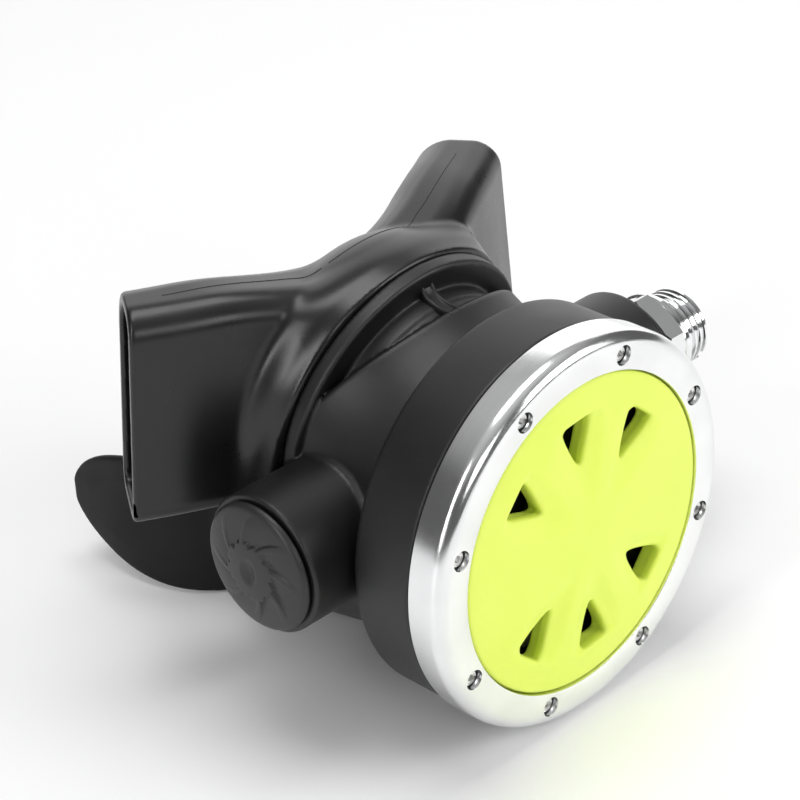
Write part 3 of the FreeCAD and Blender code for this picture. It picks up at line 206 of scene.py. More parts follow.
def skin(name, field, low, high, step):
    """A mesh of small squares on the surface where a field of drawing millimetres is zero."""
    step = step * coarse
    low = np.asarray(low, float)
    lines = [np.arange(a, b + step, step, dtype=np.float32) for a, b in zip(low, high)]
    value = field(*np.meshgrid(*lines, indexing="ij")).astype(np.float32)
    cells = np.array(value.shape) - 1
    squares, spots = [], []
    for axis in range(3):
        lower = value[tuple(slice(0, -1) if n == axis else slice(None) for n in range(3))]
        upper = value[tuple(slice(1, None) if n == axis else slice(None) for n in range(3))]
        crossing = (lower < 0) != (upper < 0)
        corner = np.argwhere(crossing)
        before, after = lower[crossing], upper[crossing]
        spot = corner.astype(float)
        spot[:, axis] += before / (before - after)
        square = []
        inside = np.ones(len(corner), bool)
        for one, two in ((0, 0), (1, 0), (1, 1), (0, 1)):
            cell = corner.copy()
            cell[:, (axis + 1) % 3] -= one
            cell[:, (axis + 2) % 3] -= two
            inside &= (cell >= 0).all(1) & (cell < cells).all(1)
            square.append(np.ravel_multi_index(np.clip(cell, 0, cells - 1).T, cells))
        square = np.stack(square, 1)[inside]
        inward = before[inside] > 0
        square[inward] = square[inward][:, ::-1]
        squares.append(square)
        spots.append(np.repeat(spot[inside], 4, axis=0))
    squares, spots = np.concatenate(squares), np.concatenate(spots)
    order = np.unique(squares.ravel(), return_inverse=True)[1]
    share = np.bincount(order).astype(float)
    points = np.stack([np.bincount(order, weights=spots[:, n]) / share for n in range(3)], 1)
    points = low + points * step
    # Three short moves along the slope bring the points onto the surface.
    for _ in range(3):
        away = field(*points.T)
        slope = np.stack([(field(*(points + nudge).T) - field(*(points - nudge).T)) / (0.5 * step)
                          for nudge in np.eye(3) * 0.25 * step], 1)
        move = -(away / (np.sum(slope ** 2, axis=1) + 1e-6))[:, None] * slope
        length = np.linalg.norm(move, axis=1, keepdims=True) + 1e-9
        points = points + move * np.minimum(1, 0.4 * step / length)
    return mesh_piece(name, points, order.reshape(-1, 4))


def mesh_piece(name, points, faces):
    """A smooth-shaded mesh object from drawing millimetres."""
    mesh = bpy.data.meshes.new(name)
    mesh.from_pydata(in_frame(points).tolist(), [], np.asarray(faces).tolist())
    mesh.validate()
    mesh.polygons.foreach_set("use_smooth", [True] * len(mesh.polygons))
    piece = bpy.data.objects.new(name, mesh)
    bpy.context.scene.collection.objects.link(piece)
    return piece


def fit(piece, material, slot, body, *nodes):
    """Finishes a piece and puts it in the place of the CAD nodes that it stands for."""
    piece.data.materials.clear()
    piece.data.materials.append(material)
    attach(piece, body)
    if nodes:
        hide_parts(*nodes)


drum_radius, drum_front, drum_rear = 34.0, 0.3, 12.2
groove_radius, groove_half, groove_depth = 30.1, 1.7, 1.6
ridge_radius, ridge_front, ridge_rear = 28.4, 3.0, 13.1
barrel_y, barrel_z = 26.1, 0.6
inlet_boss_radius, inlet_boss_end = 12.6, 48.0
knob_boss_radius, knob_boss_end = 12.2, -40.6
seam_radius = 0.55
exhaust_y, exhaust_z = 35.4, 11.8
exhaust_tilt = math.radians(14.0)
collar_radius, collar_thick = 26.4, 3.0
neck_start, neck_end_radius, neck_waist = 11.0, 25.4, 0.8
throat_radius, spigot_radius, spigot_length = 21.5, 23.6, 3.0
crevice_apex = (29.77, 22.0)
crevice_lean = math.radians(41.0)
tee_floor, tee_wall, tee_room_radius, tee_gap = -0.6, 2.2, 27.2, 0.1
mouth_z = -20.5
spout_front, spout_root, spout_start = 10.0, 26.9, 11.6
spout_wide, spout_tall, spout_rear = 18.0, 13.2, 41.0
nozzle_wide, nozzle_tall, nozzle_front, nozzle_rear = 15.5, 10.0, 30.0, 52.0
chamber_front, chamber_start, chamber_radius = -5.0, 11.2, 26.3
chamber_end_y, chamber_end_z = exhaust_y - 7.03, exhaust_z + 3.4
valve_rise, valve_port_radius, valve_seat_radius = 5.0, 13.4, 14.9
valve_port_along, valve_floor_along, valve_seat_along = -7.0, -5.0, -2.4
duct_front, duct_start, duct_length, duct_root = 5.0, 9.7, 28.3, 24.8
duct_wide, duct_tall = 13.5, 8.0
barrel_bore, nut_recess_radius, nut_recess_start = 8.06, 11.5, 45.7
bore_past_end = 5.0


def exhaust_place(x, y, z):
    """Distance along the exhaust's leaning axis, height in the collar's plane and distance from the axis."""
    along = (y - exhaust_y) * math.cos(exhaust_tilt) + (z - exhaust_z) * math.sin(exhaust_tilt)
    rise = (z - exhaust_z) * math.cos(exhaust_tilt) - (y - exhaust_y) * math.sin(exhaust_tilt)
    return along, rise, np.hypot(x, rise)


def drum_form(x, y, z):
    """The drum behind the ring, with a groove in its rear face and a raised ridge inside that."""
    around = np.hypot(x, z)
    drum = within(within(around - drum_radius, drum_front - y, 0.25), y - drum_rear, 0.6)
    groove = np.maximum(np.abs(around - groove_radius) - groove_half, drum_rear - groove_depth - y)
    ridge = within(around - ridge_radius, between(y, ridge_front, ridge_rear), 0.6)
    return melt(carve(drum, groove, 0.4), ridge, 0.3)


def neck_form(x, y, z):
    """The neck from the drum to the leaning collar, with the open crevice under the collar."""
    along, _, off_axis = exhaust_place(x, y, z)
    collar_y = exhaust_y - collar_thick * math.cos(exhaust_tilt)
    collar_z = exhaust_z - collar_thick * math.sin(exhaust_tilt)
    neck_rear = collar_y + (collar_z - z) * math.tan(exhaust_tilt)
    share = np.clip((y - ridge_rear) / (neck_rear - ridge_rear), 0, 1)
    girth = ridge_radius + (neck_end_radius - ridge_radius) * share - neck_waist * np.sin(math.pi * share)
    neck = np.hypot(x, (z - collar_z * share) / np.cos(exhaust_tilt * share)) - girth
    neck = within(neck, np.maximum(along + collar_thick, neck_start - y), 0.4)
    past_rim = (y - crevice_apex[0]) * math.cos(crevice_lean) + (z - crevice_apex[1]) * math.sin(crevice_lean)
    crevice = np.maximum(np.maximum(along + collar_thick, -past_rim), throat_radius - off_axis)
    return carve(neck, crevice, 1.0)


def spout_form(x, y, z):
    """The oval spout that leads down and back to the mouthpiece."""
    share = np.clip((y - spout_start) / (spout_rear - spout_start), 0, 1)
    wide = spout_root + (spout_wide - spout_root) * share
    tall = spout_root + (spout_tall - spout_root) * share
    spout = oval_gap(x, z - mouth_z * share, wide, tall)
    return within(spout, between(y, spout_front, spout_rear), 0.8)


def boss_forms(x, y, z):
    """The cross barrel's two halves, for the inlet and for the knob, cut clear of the exhaust tee."""
    barrel = np.hypot(y - barrel_y, z - barrel_z)
    along, _, off_axis = exhaust_place(x, y, z)
    inlet_boss = within(barrel - inlet_boss_radius, between(x, 0, inlet_boss_end), 0.9)
    knob_boss = within(barrel - knob_boss_radius, between(x, knob_boss_end, 0), 0.4)
    tee_room = np.maximum(np.maximum(off_axis - tee_room_radius, -tee_gap - along), tee_floor - tee_gap - z)
    return np.maximum(inlet_boss, -tee_room), np.maximum(knob_boss, -tee_room)


def shell_hollow(x, y, z):
    """The room inside: the exhaust's chamber and seat, the duct to the mouth, and the barrel's bores."""
    barrel = np.hypot(y - barrel_y, z - barrel_z)
    along, rise, _ = exhaust_place(x, y, z)
    chamber_rear = chamber_end_y + (chamber_end_z - z) * math.tan(exhaust_tilt)
    share = np.clip((y - chamber_start) / (chamber_rear - chamber_start), 0, 1)
    girth = chamber_radius + (valve_port_radius - chamber_radius) * share
    chamber = np.maximum(np.hypot(x, z - chamber_end_z * share) - girth, along - valve_floor_along)
    off_valve = np.hypot(x, rise - valve_rise)
    chamber = np.minimum(chamber, np.maximum(off_valve - valve_port_radius, valve_port_along - along))
    chamber = np.minimum(chamber, np.maximum(off_valve - valve_seat_radius, valve_seat_along - along))
    share = np.clip((y - duct_start) / duct_length, 0, 1)
    duct = oval_gap(x, z - mouth_z * share, duct_root + (duct_wide - duct_root) * share,
                    duct_root + (duct_tall - duct_root) * share)
    inside = np.minimum(np.maximum(chamber, chamber_front - y), np.maximum(duct, duct_front - y))
    inside = np.minimum(inside, np.maximum(barrel - barrel_bore, knob_boss_end - bore_past_end - x))
    return np.minimum(inside, np.maximum(barrel - nut_recess_radius, nut_recess_start - x))


def shell_field(x, y, z):
    """The whole shell, solid where the field is below zero."""
    along, _, off_axis = exhaust_place(x, y, z)
    body = melt(melt(neck_form(x, y, z), spout_form(x, y, z), 3.0), drum_form(x, y, z), 0.8)
    inlet_boss, knob_boss = boss_forms(x, y, z)
    seam = np.hypot(knob_boss, body) - seam_radius * ease(-y, -30, -25)
    body = melt(melt(body, np.minimum(inlet_boss, knob_boss), 1.0), seam, 0.25)
    above_floor = tee_floor - z
    collar = np.maximum(within(off_axis - collar_radius, between(along, -collar_thick, 0), 0.7), above_floor)
    throat = np.maximum(off_axis - throat_radius, between(along, -2 * collar_thick, 0))
    throat = np.maximum(throat, above_floor)
    spigot = np.maximum(off_axis - spigot_radius, between(along, 0, spigot_length))
    spigot = np.maximum(spigot, above_floor + tee_wall + tee_gap)
    nozzle = np.maximum(oval_gap(x, z - mouth_z, nozzle_wide, nozzle_tall),
                        between(y, nozzle_front, nozzle_rear))
    body = melt(melt(body, throat, 1.2), collar, 0.4)
    return carve(np.minimum(np.minimum(body, spigot), nozzle), shell_hollow(x, y, z), 0.45)


def grain_group():
    """Spark grain of a mould: a height from fine noise and a slow drift for the roughness and shade."""
    group = bpy.data.node_groups.new("mould_grain", "ShaderNodeTree")
    for name in ("Grains per Metre", "Drift per Metre", "Roughness Low", "Roughness High"):
        group.interface.new_socket(name=name, in_out="INPUT", socket_type="NodeSocketFloat")
    for name in ("Height", "Roughness", "Patch"):
        group.interface.new_socket(name=name, in_out="OUTPUT", socket_type="NodeSocketFloat")
    nodes, links = group.nodes, group.links
    entry = nodes.new("NodeGroupInput")
    leave = nodes.new("NodeGroupOutput")
    place = nodes.new("ShaderNodeTexCoord")
    grain = nodes.new("ShaderNodeTexNoise")
    grain.inputs["Detail"].default_value = 3.0
    grain.inputs["Roughness"].default_value = 0.6
    drift = nodes.new("ShaderNodeTexNoise")
    drift.inputs["Detail"].default_value = 4.0
    spread = nodes.new("ShaderNodeMapRange")
    spread.inputs["From Min"].default_value = 0.35
    spread.inputs["From Max"].default_value = 0.65
    links.new(place.outputs["Object"], grain.inputs["Vector"])
    links.new(place.outputs["Object"], drift.inputs["Vector"])
    links.new(entry.outputs["Grains per Metre"], grain.inputs["Scale"])
    links.new(entry.outputs["Drift per Metre"], drift.inputs["Scale"])
    links.new(drift.outputs["Fac"], spread.inputs["Value"])
    links.new(entry.outputs["Roughness Low"], spread.inputs["To Min"])
    links.new(entry.outputs["Roughness High"], spread.inputs["To Max"])
    links.new(grain.outputs["Fac"], leave.inputs["Height"])
    links.new(spread.outputs["Result"], leave.inputs["Roughness"])
    links.new(drift.outputs["Fac"], leave.inputs["Patch"])
    return group


mould_grain = grain_group()
drift_per_metre = 70.0


def moulded(name, dark, light, grains, depth, low, high):
    """A moulded plastic or rubber: two near shades in slow patches, grain and an uneven gloss."""
    material = bpy.data.materials.new(name)
    material.use_nodes = True
    nodes, links = material.node_tree.nodes, material.node_tree.links
    shader = nodes["Principled BSDF"]
    grain = nodes.new("ShaderNodeGroup")
    grain.node_tree = mould_grain
    grain.inputs["Grains per Metre"].default_value = grains
    grain.inputs["Drift per Metre"].default_value = drift_per_metre
    grain.inputs["Roughness Low"].default_value = low
    grain.inputs["Roughness High"].default_value = high
    shade = nodes.new("ShaderNodeValToRGB")
    for end, place, colour in ((0, 0.3, dark), (1, 0.7, light)):
        shade.color_ramp.elements[end].position = place
        shade.color_ramp.elements[end].color = (*colour, 1.0)
    bump = nodes.new("ShaderNodeBump")
    bump.inputs["Distance"].default_value = depth * metres_per_mm
    bump.inputs["Strength"].default_value = 1.0
    links.new(grain.outputs["Patch"], shade.inputs["Fac"])
    links.new(shade.outputs["Color"], shader.inputs["Base Color"])
    links.new(grain.outputs["Roughness"], shader.inputs["Roughness"])
    links.new(grain.outputs["Height"], bump.inputs["Height"])
    links.new(bump.outputs["Normal"], shader.inputs["Normal"])
    return material


shell_black = moulded("spark_grained_nylon", (0.0062, 0.0062, 0.0066), (0.0085, 0.0085, 0.009),
                      4200.0, 0.018, 0.4, 0.48)
shell = skin("shell", shell_field, (-43, -1, -37), (50, 54, 41), 0.45)
fit(shell, shell_black, "shell_black", "body", "case")

# Exhaust tee
# A soft moulded hood over the exhaust valve that runs out into two swept arms with open mouths. It is one
# blown-over rubber-like part pressed on the collar, smoother and glossier than the shell.
tee_top = 37.8
tee_middle = (tee_top + tee_floor) / 2
tee_half_height = (tee_top - tee_floor) / 2
hood_radius = 26.6
hood_height = 18.4
hood_round = 13.4
hood_taper = 0.065
hood_cap_lean = 0.1
hood_cap_middle = 14.0
arm_dip = 3.4
arm_line_x = (0.0, 22.0, 40.65)
arm_line_y = (42.6, 47.6, 57.1)
arm_line_slope = (0.0, 0.46, 0.6)
arm_half_depth = (9.8, 8.8, 7.9)
arm_dip_reach = (3.0, 31.0)
low_corner_front, low_corner_rear = 4.0, 4.5
top_corner_front, top_corner_rear = 5.0, 8.5
corner_blend_depth, corner_blend_height = 6, 14
crease_width, valley_width, valley_reach = 1.3, 8.0, (3.0, 12.0)
port_radius, port_depth = 23.7, 6.0
mouth_sweep = math.radians(34.0)
mouth_lean = 0.075


def arm_line(x):
    """The arm's middle line: its Y at a distance from the centre, by a smooth curve through three points."""
    y = np.zeros_like(x)
    for k in (0, 1):
        span = arm_line_x[k + 1] - arm_line_x[k]
        t = np.clip((x - arm_line_x[k]) / span, 0, 1)
        here = (2 * t ** 3 - 3 * t ** 2 + 1) * arm_line_y[k]
        here += (t ** 3 - 2 * t ** 2 + t) * span * arm_line_slope[k]
        there = (3 * t ** 2 - 2 * t ** 3) * arm_line_y[k + 1]
        there += (t ** 3 - t ** 2) * span * arm_line_slope[k + 1]
        y = np.where(x >= arm_line_x[k], here + there, y)
    return y + np.maximum(x - arm_line_x[2], 0) * arm_line_slope[2]


def arms_field(x, y, z):
    """Both arms as one bent box with round edges, softest along the upper rear edge."""
    out = np.abs(x)
    station = np.abs(out + (z - tee_middle) * mouth_lean * np.minimum(out / arm_line_x[2], 1))
    slope = (arm_line(station + 0.2) - arm_line(np.abs(station - 0.2))) / 0.4
    aside = (y - arm_line(station)) / np.sqrt(1 + slope ** 2)
    drop = arm_dip / 2 * (1 - ease(station, *arm_dip_reach))
    height = z - tee_middle + drop
    half = np.interp(station, arm_line_x, arm_half_depth)
    backward = np.clip(0.5 + aside / corner_blend_depth, 0, 1)
    upward = np.clip(0.5 + height / corner_blend_height, 0, 1)
    low_corner = low_corner_front * (1 - backward) + low_corner_rear * backward
    top_corner = top_corner_front * (1 - backward) + top_corner_rear * backward
    corner = np.minimum(low_corner * (1 - upward) + top_corner * upward, half - 0.3)
    end = np.abs(height) - (tee_half_height - drop - corner)
    return rounded(np.abs(aside) - (half - corner), end, corner)


def tee_bulk(x, y, z):
    """The tee's outer form with its arms too long."""
    along, rise, off_axis = exhaust_place(x, y, z)
    side = off_axis - (hood_radius - hood_round) + hood_taper * along
    end = along - (hood_height - hood_round) - hood_cap_lean * (rise - hood_cap_middle)
    width = crease_width + valley_width * (1 - ease(along, *valley_reach))
    return melt(arms_field(x, y, z), rounded(side, end, hood_round), width)


def tee_field(x, y, z):
    """The hollow tee with its arms cut off at the mouths."""
    along, _, off_axis = exhaust_place(x, y, z)
    bulk = tee_bulk(x, y, z)
    end = ((np.abs(x) - arm_line_x[2]) * math.cos(mouth_sweep) + (y - arm_line_y[2]) * math.sin(mouth_sweep)
           + (z - tee_middle) * mouth_lean) / math.hypot(1, mouth_lean)
    solid = within(within(bulk, -along, 0.7), tee_floor - z, 1.2)
    solid = within(solid, end, 0.9)
    hollow = np.maximum(np.maximum(bulk + tee_wall, tee_wall - along), tee_floor + tee_wall - z)
    port = np.maximum(np.maximum(off_axis - port_radius, tee_floor + tee_wall - z), along - port_depth)
    return carve(solid, np.minimum(hollow, port), 0.6)


tee_black = moulded("smooth_tee_black", (0.005, 0.005, 0.0052), (0.0066, 0.0066, 0.0068),
                    2600.0, 0.006, 0.26, 0.33)
tee = skin("tee", tee_field, (-46, 28, -2), (46, 72, 41), 0.5)
fit(tee, tee_black, "tee_black", "body", "exhaust_tee")

# Parting line
# The mould leaves a thin raised line along the crest of the hood and both arms, with a small gap at each side
# of the hood where the mould's slides met.
line_stations = 60
line_breaks = (8.4, 9.6)
line_end = 34.5
line_radius = 0.09
line_ahead, line_hood_ahead, line_hood_reach = 1.0, 1.5, (6, 16)
crest_lowest, crest_highest = 20.0, 42.0


def crest_height(x, y):
    """Height of the tee's upper surface above a point."""
    low, high = np.full_like(x, crest_lowest), np.full_like(x, crest_highest)
    for _ in range(24):
        middle = (low + high) / 2
        inside = tee_bulk(x, y, middle) < 0
        low, high = np.where(inside, middle, low), np.where(inside, high, middle)
    return low


def thread_along(name, points, radius):
    """A thin round thread through drawing points."""
    sides = 6
    points = np.asarray(points, float)
    forward = np.gradient(points, axis=0)
    forward /= np.linalg.norm(forward, axis=1, keepdims=True)
    side = np.cross(forward, (0.0, 0.0, 1.0))
    side /= np.linalg.norm(side, axis=1, keepdims=True)
    top = np.cross(side, forward)
    turns = [2 * math.pi * k / sides for k in range(sides)]
    rings = [points + (side * math.cos(turn) + top * math.sin(turn)) * radius for turn in turns]
    body = np.stack(rings, 1).reshape(-1, 3)
    faces = []
    for n in range(len(points) - 1):
        for k in range(sides):
            here, there = n * sides + k, n * sides + (k + 1) % sides
            faces.append((here, there, there + sides, here + sides))
    return mesh_piece(name, body, faces)


def parting_thread(name, start, end):
    """One stretch of the parting line, laid on the tee's crest."""
    x = np.linspace(start, end, line_stations)
    y = arm_line(np.abs(x)) - line_hood_ahead * (1 - ease(np.abs(x), *line_hood_reach)) - line_ahead
    return thread_along(name, np.stack([x, y, crest_height(x, y)], 1), line_radius)


for name, start, end in (("parting_line_left", -line_end, -line_breaks[1]),
                         ("parting_line_hood", -line_breaks[0], line_breaks[0]),
                         ("parting_line_right", line_breaks[1], line_end)):
    fit(parting_thread(name, start, end), tee_black, "tee_black", "body")

# Bridge over the crevice
# A small bowed strut, moulded with a hollow along its outer face, ties the collar to the neck's front rim so
# that the thin rim can't spring open.
strut_top = (27.9, 36.0)
strut_foot = (20.9, 31.0)
strut_bow = (1.5, -1.3)
strut_half_width = 1.4
strut_half_thick = 0.75
channel_half_width, channel_depth = 0.75, 0.35
strut_steps = 61


def strut_field(x, y, z):
    """A bar along a bowed line in the middle plane, with a channel in its outer face."""
    bow_y = (strut_top[0] + strut_foot[0]) / 2 + 2 * strut_bow[0]
    bow_z = (strut_top[1] + strut_foot[1]) / 2 + 2 * strut_bow[1]
    gap = np.full_like(x, 1e3)
    for t in np.linspace(0, 1, strut_steps):
        line_y = (1 - t) ** 2 * strut_top[0] + 2 * t * (1 - t) * bow_y + t ** 2 * strut_foot[0]
        line_z = (1 - t) ** 2 * strut_top[1] + 2 * t * (1 - t) * bow_z + t ** 2 * strut_foot[1]
        gap = np.minimum(gap, np.hypot(y - line_y, z - line_z))
    bar = within(gap - strut_half_thick, np.abs(x) - strut_half_width, 0.5)
    channel = np.maximum(np.abs(x) - channel_half_width, strut_half_thick - channel_depth - gap)
    return carve(bar, channel, 0.3)


strut = skin("crevice_strut", strut_field, (-3, 18, 28), (3, 30, 39.5), 0.2)
fit(strut, shell_black, "shell_black", "body", "tee_clip")

# Chrome ring
# Turned brass, polished and chromed: a plain rim, a rounded shoulder and a flat face with eight screw pits.
# The lathe's last pass shows as very fine rings in the mirror finish.
ring_radius = 34.5
ring_front = -7.0
ring_round = 2.6
ring_lip = 28.05
ring_seat_front = -5.0
ring_seat_radius = 29.0
ring_seat_rear = -0.25
ring_bore_front, ring_bore_rear = 29.3, 29.5
ring_chamfer = 0.3
ring_sides = 240
sharp_from = math.radians(30)
pit_radius = 1.75
pit_depth = 2.4
screw_circle = 30.6
screw_first = math.radians(27.0)
screw_count = 8


def turned(name, profile, sides):
    """A piece turned about the shell's axis, from a closed outline of (distance along, radius)."""
    turns = np.arange(sides) * 2 * math.pi / sides
    rings = [np.stack([radius * np.cos(turns), np.full(sides, place), radius * np.sin(turns)], 1)
             for place, radius in profile]
    faces = []
    for n in range(len(profile)):
        here, there = n * sides, (n + 1) % len(profile) * sides
        for k in range(sides):
            after = (k + 1) % sides
            faces.append((here + k, there + k, there + after, here + after))
    piece = mesh_piece(name, np.concatenate(rings), faces)
    outwards(piece.data)
    piece.data.set_sharp_from_angle(angle=sharp_from)
    return piece


def outwards(mesh):
    """Turns every face of a closed mesh outwards."""
    faces = bmesh.new()
    faces.from_mesh(mesh)
    bmesh.ops.recalc_face_normals(faces, faces=faces.faces)
    faces.to_mesh(mesh)
    faces.free()


def subtract(piece, cutters):
    """Cuts closed meshes from a piece for good."""
    for cutter in cutters:
        change = piece.modifiers.new("cut", "BOOLEAN")
        change.object = cutter
        change.solver = "EXACT"
    graph = bpy.context.evaluated_depsgraph_get()
    piece.data = bpy.data.meshes.new_from_object(piece.evaluated_get(graph))
    piece.modifiers.clear()
    for cutter in cutters:
        bpy.data.objects.remove(cutter)
    piece.data.polygons.foreach_set("use_smooth", [True] * len(piece.data.polygons))
    piece.data.set_sharp_from_angle(angle=sharp_from)


def plug_at(angle, front, rear):
    """A round cutter for one screw pit."""
    sides = 32
    middle_x, middle_z = screw_circle * math.cos(angle), screw_circle * math.sin(angle)
    turns = [2 * math.pi * k / sides for k in range(sides)]
    points = [(middle_x + pit_radius * math.cos(turn), y, middle_z + pit_radius * math.sin(turn))
              for y in (front, rear) for turn in turns]
    faces = [(k, (k + 1) % sides, sides + (k + 1) % sides, sides + k) for k in range(sides)]
    faces += [tuple(reversed(range(sides))), tuple(range(sides, 2 * sides))]
    mesh = bpy.data.meshes.new("plug")
    mesh.from_pydata(in_frame(points).tolist(), [], faces)
    outwards(mesh)
    plug = bpy.data.objects.new("plug", mesh)
    bpy.context.scene.collection.objects.link(plug)
    return plug


def chromed(name, tint, low, high, rings_per_metre, depth, axis):
    """Bright metal with turning marks round an axis of the drawing, and slow clouds in tone and gloss."""
    material = bpy.data.materials.new(name)
    material.use_nodes = True
    nodes, links = material.node_tree.nodes, material.node_tree.links
    shader = nodes["Principled BSDF"]
    shader.inputs["Metallic"].default_value = 1.0
    place = nodes.new("ShaderNodeTexCoord")
    shift = nodes.new("ShaderNodeMapping")
    axis_point = (0.0, 0.0, 0.0) if axis == "y" else (0.0, barrel_y, barrel_z)
    shift.inputs["Location"].default_value = tuple(-in_frame(axis_point))
    split = nodes.new("ShaderNodeSeparateXYZ")
    flat = nodes.new("ShaderNodeCombineXYZ")
    far = nodes.new("ShaderNodeVectorMath")
    far.operation = "LENGTH"
    joined = nodes.new("ShaderNodeCombineXYZ")
    marks = nodes.new("ShaderNodeTexNoise")
    marks.noise_dimensions = "2D"
    marks.inputs["Scale"].default_value = rings_per_metre
    marks.inputs["Detail"].default_value = 2.0
    bump = nodes.new("ShaderNodeBump")
    bump.inputs["Distance"].default_value = depth * metres_per_mm
    bump.inputs["Strength"].default_value = 1.0
    cloud = nodes.new("ShaderNodeTexNoise")
    cloud.inputs["Scale"].default_value = 120.0
    cloud.inputs["Detail"].default_value = 6.0
    spread = nodes.new("ShaderNodeMapRange")
    spread.inputs["From Min"].default_value = 0.35
    spread.inputs["From Max"].default_value = 0.65
    spread.inputs["To Min"].default_value = low
    spread.inputs["To Max"].default_value = high
    tone = nodes.new("ShaderNodeValToRGB")
    for end, height, shade in ((0, 0.35, 0.93), (1, 0.65, 1.0)):
        tone.color_ramp.elements[end].position = height
        tone.color_ramp.elements[end].color = (*[part * shade for part in tint], 1.0)
    round_names, straight = (("X", "Z"), "Y") if axis == "y" else (("Y", "Z"), "X")
    links.new(place.outputs["Object"], shift.inputs["Vector"])
    links.new(shift.outputs["Vector"], split.inputs["Vector"])
    links.new(split.outputs[round_names[0]], flat.inputs["X"])
    links.new(split.outputs[round_names[1]], flat.inputs["Y"])
    links.new(flat.outputs["Vector"], far.inputs[0])
    links.new(far.outputs["Value"], joined.inputs["X"])
    links.new(split.outputs[straight], joined.inputs["Y"])
    links.new(joined.outputs["Vector"], marks.inputs["Vector"])
    links.new(marks.outputs["Fac"], bump.inputs["Height"])
    links.new(place.outputs["Object"], cloud.inputs["Vector"])
    links.new(cloud.outputs["Fac"], spread.inputs["Value"])
    links.new(cloud.outputs["Fac"], tone.inputs["Fac"])
    links.new(tone.outputs["Color"], shader.inputs["Base Color"])
    links.new(spread.outputs["Result"], shader.inputs["Roughness"])
    links.new(bump.outputs["Normal"], shader.inputs["Normal"])
    return material


shoulder = [(ring_front + ring_round * (1 - math.sin(turn)), ring_radius - ring_round * (1 - math.cos(turn)))
            for turn in np.linspace(0, math.pi / 2, 14)]
ring_profile = [(ring_seat_rear, ring_bore_front), (0.0, ring_bore_rear),
                (0.0, ring_radius - ring_chamfer), (-ring_chamfer, ring_radius)]
ring_profile += shoulder
ring_profile += [(ring_front, ring_lip + 0.2), (ring_front + 0.07, ring_lip + 0.07),
                 (ring_front + 0.25, ring_lip), (ring_seat_front, ring_lip),
                 (ring_seat_front, ring_seat_radius), (ring_seat_rear, ring_seat_radius)]
ring_chrome = chromed("turned_chrome", (0.88, 0.885, 0.89), 0.12, 0.2, 5200.0, 0.01, "y")
ring = turned("chrome_ring", ring_profile, ring_sides)
screw_angles = [screw_first + 2 * math.pi * k / screw_count for k in range(screw_count)]
subtract(ring, [plug_at(angle, ring_front - 1, ring_front + pit_depth) for angle in screw_angles])
fit(ring, ring_chrome, "ring_chrome", "body", "retaining_ring")

# Inside, behind the cover
# What the vents and the mouths show is nearly all black or in deep shade: the guard plate, the silicone
# diaphragm, the valve's parts and the seals. These keep their CAD shapes and get their real finishes.
dull_black = moulded("dull_inner_plastic", (0.004, 0.004, 0.004), (0.007, 0.007, 0.007),
                     1500.0, 0.02, 0.45, 0.6)
white_plastic = moulded("white_acetal", (0.62, 0.62, 0.6), (0.7, 0.7, 0.68), 1500.0, 0.01, 0.35, 0.5)
clear_silicone = moulded("milky_silicone", (0.42, 0.42, 0.4), (0.5, 0.5, 0.47), 900.0, 0.01, 0.4, 0.55)
seal_rubber = moulded("seal_rubber", (0.006, 0.006, 0.006), (0.01, 0.01, 0.01), 2500.0, 0.01, 0.45, 0.6)
bright_steel = chromed("drawn_steel", (0.62, 0.62, 0.61), 0.2, 0.32, 2600.0, 0.002, "y")
turned_brass = chromed("turned_brass", (0.72, 0.55, 0.28), 0.2, 0.3, 2600.0, 0.002, "x")
barrel_chrome = chromed("barrel_chrome", (0.85, 0.855, 0.86), 0.05, 0.11, 4200.0, 0.001, "x")
finishes = {
    "guard_plate": dull_black, "purge_spring": dull_black, "diaphragm": clear_silicone,
    "diaphragm_disc": dull_black, "valve_tube": barrel_chrome, "lever_pin": bright_steel,
    "demand_lever": bright_steel, "inlet_fitting": barrel_chrome, "inlet_oring": seal_rubber,
    "lock_nut": dull_black, "poppet": white_plastic, "poppet_seat": seal_rubber,
    "poppet_spring": bright_steel, "spring_carrier": turned_brass, "knob_pin": bright_steel,
    "knob_oring": seal_rubber, "exhaust_seat": dull_black, "exhaust_valve": clear_silicone,
    "tube_oring_1": seal_rubber, "tube_oring_2": seal_rubber,
}


def finish_node(name, material):
    """Gives a CAD node that keeps its shape its real finish."""
    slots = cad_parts[name].data.materials
    slots.clear()
    slots.append(material)


for name, finish in finishes.items():
    finish_node(name, finish)

# Ring screws
# Eight small stainless cap screws with hexagon sockets, sunk in the ring's pits and screwed into the shell.
screw_steel = chromed("screw_steel", (0.86, 0.86, 0.85), 0.22, 0.36, 2600.0, 0.002, "y")
for k in range(screw_count):
    finish_node("ring_screw_%d" % (k + 1), screw_steel)

# Purge cover
# A thick flexible moulding in fluorescent yellow. Six leaf-shaped hollows run out from the middle, and each
# ends in a triangular vent whose thick walls show from the side. A diver presses the middle to purge.
cover_radius = 27.8
cover_edge = -6.7
cover_rise = 1.58
cover_thick = 1.8
cover_skirt, skirt_step, skirt_rear = 1.8, 0.6, -4.4
flange_front, flange_rear, flange_out = -4.9, -4.0, 1
vent_first, vent_step = 49.5, 45.0
vent_places = (0, 1, 2, 4, 5, 6)
vent_tip, vent_outer, vent_half = 11.6, 22.0, 3.8
vent_tip_round = 0.75
vent_wall, vent_wall_rear = 0.9, -3.4
hollow_depth = 1.35
hollow_start, hollow_full = 5.0, 16.5
hollow_close, hollow_end = 20.6, 22.6
hollow_root_half, hollow_widening, hollow_widest = 1.2, 0.40, 6.2
plunger_radius, plunger_end = 4.5, 0.8


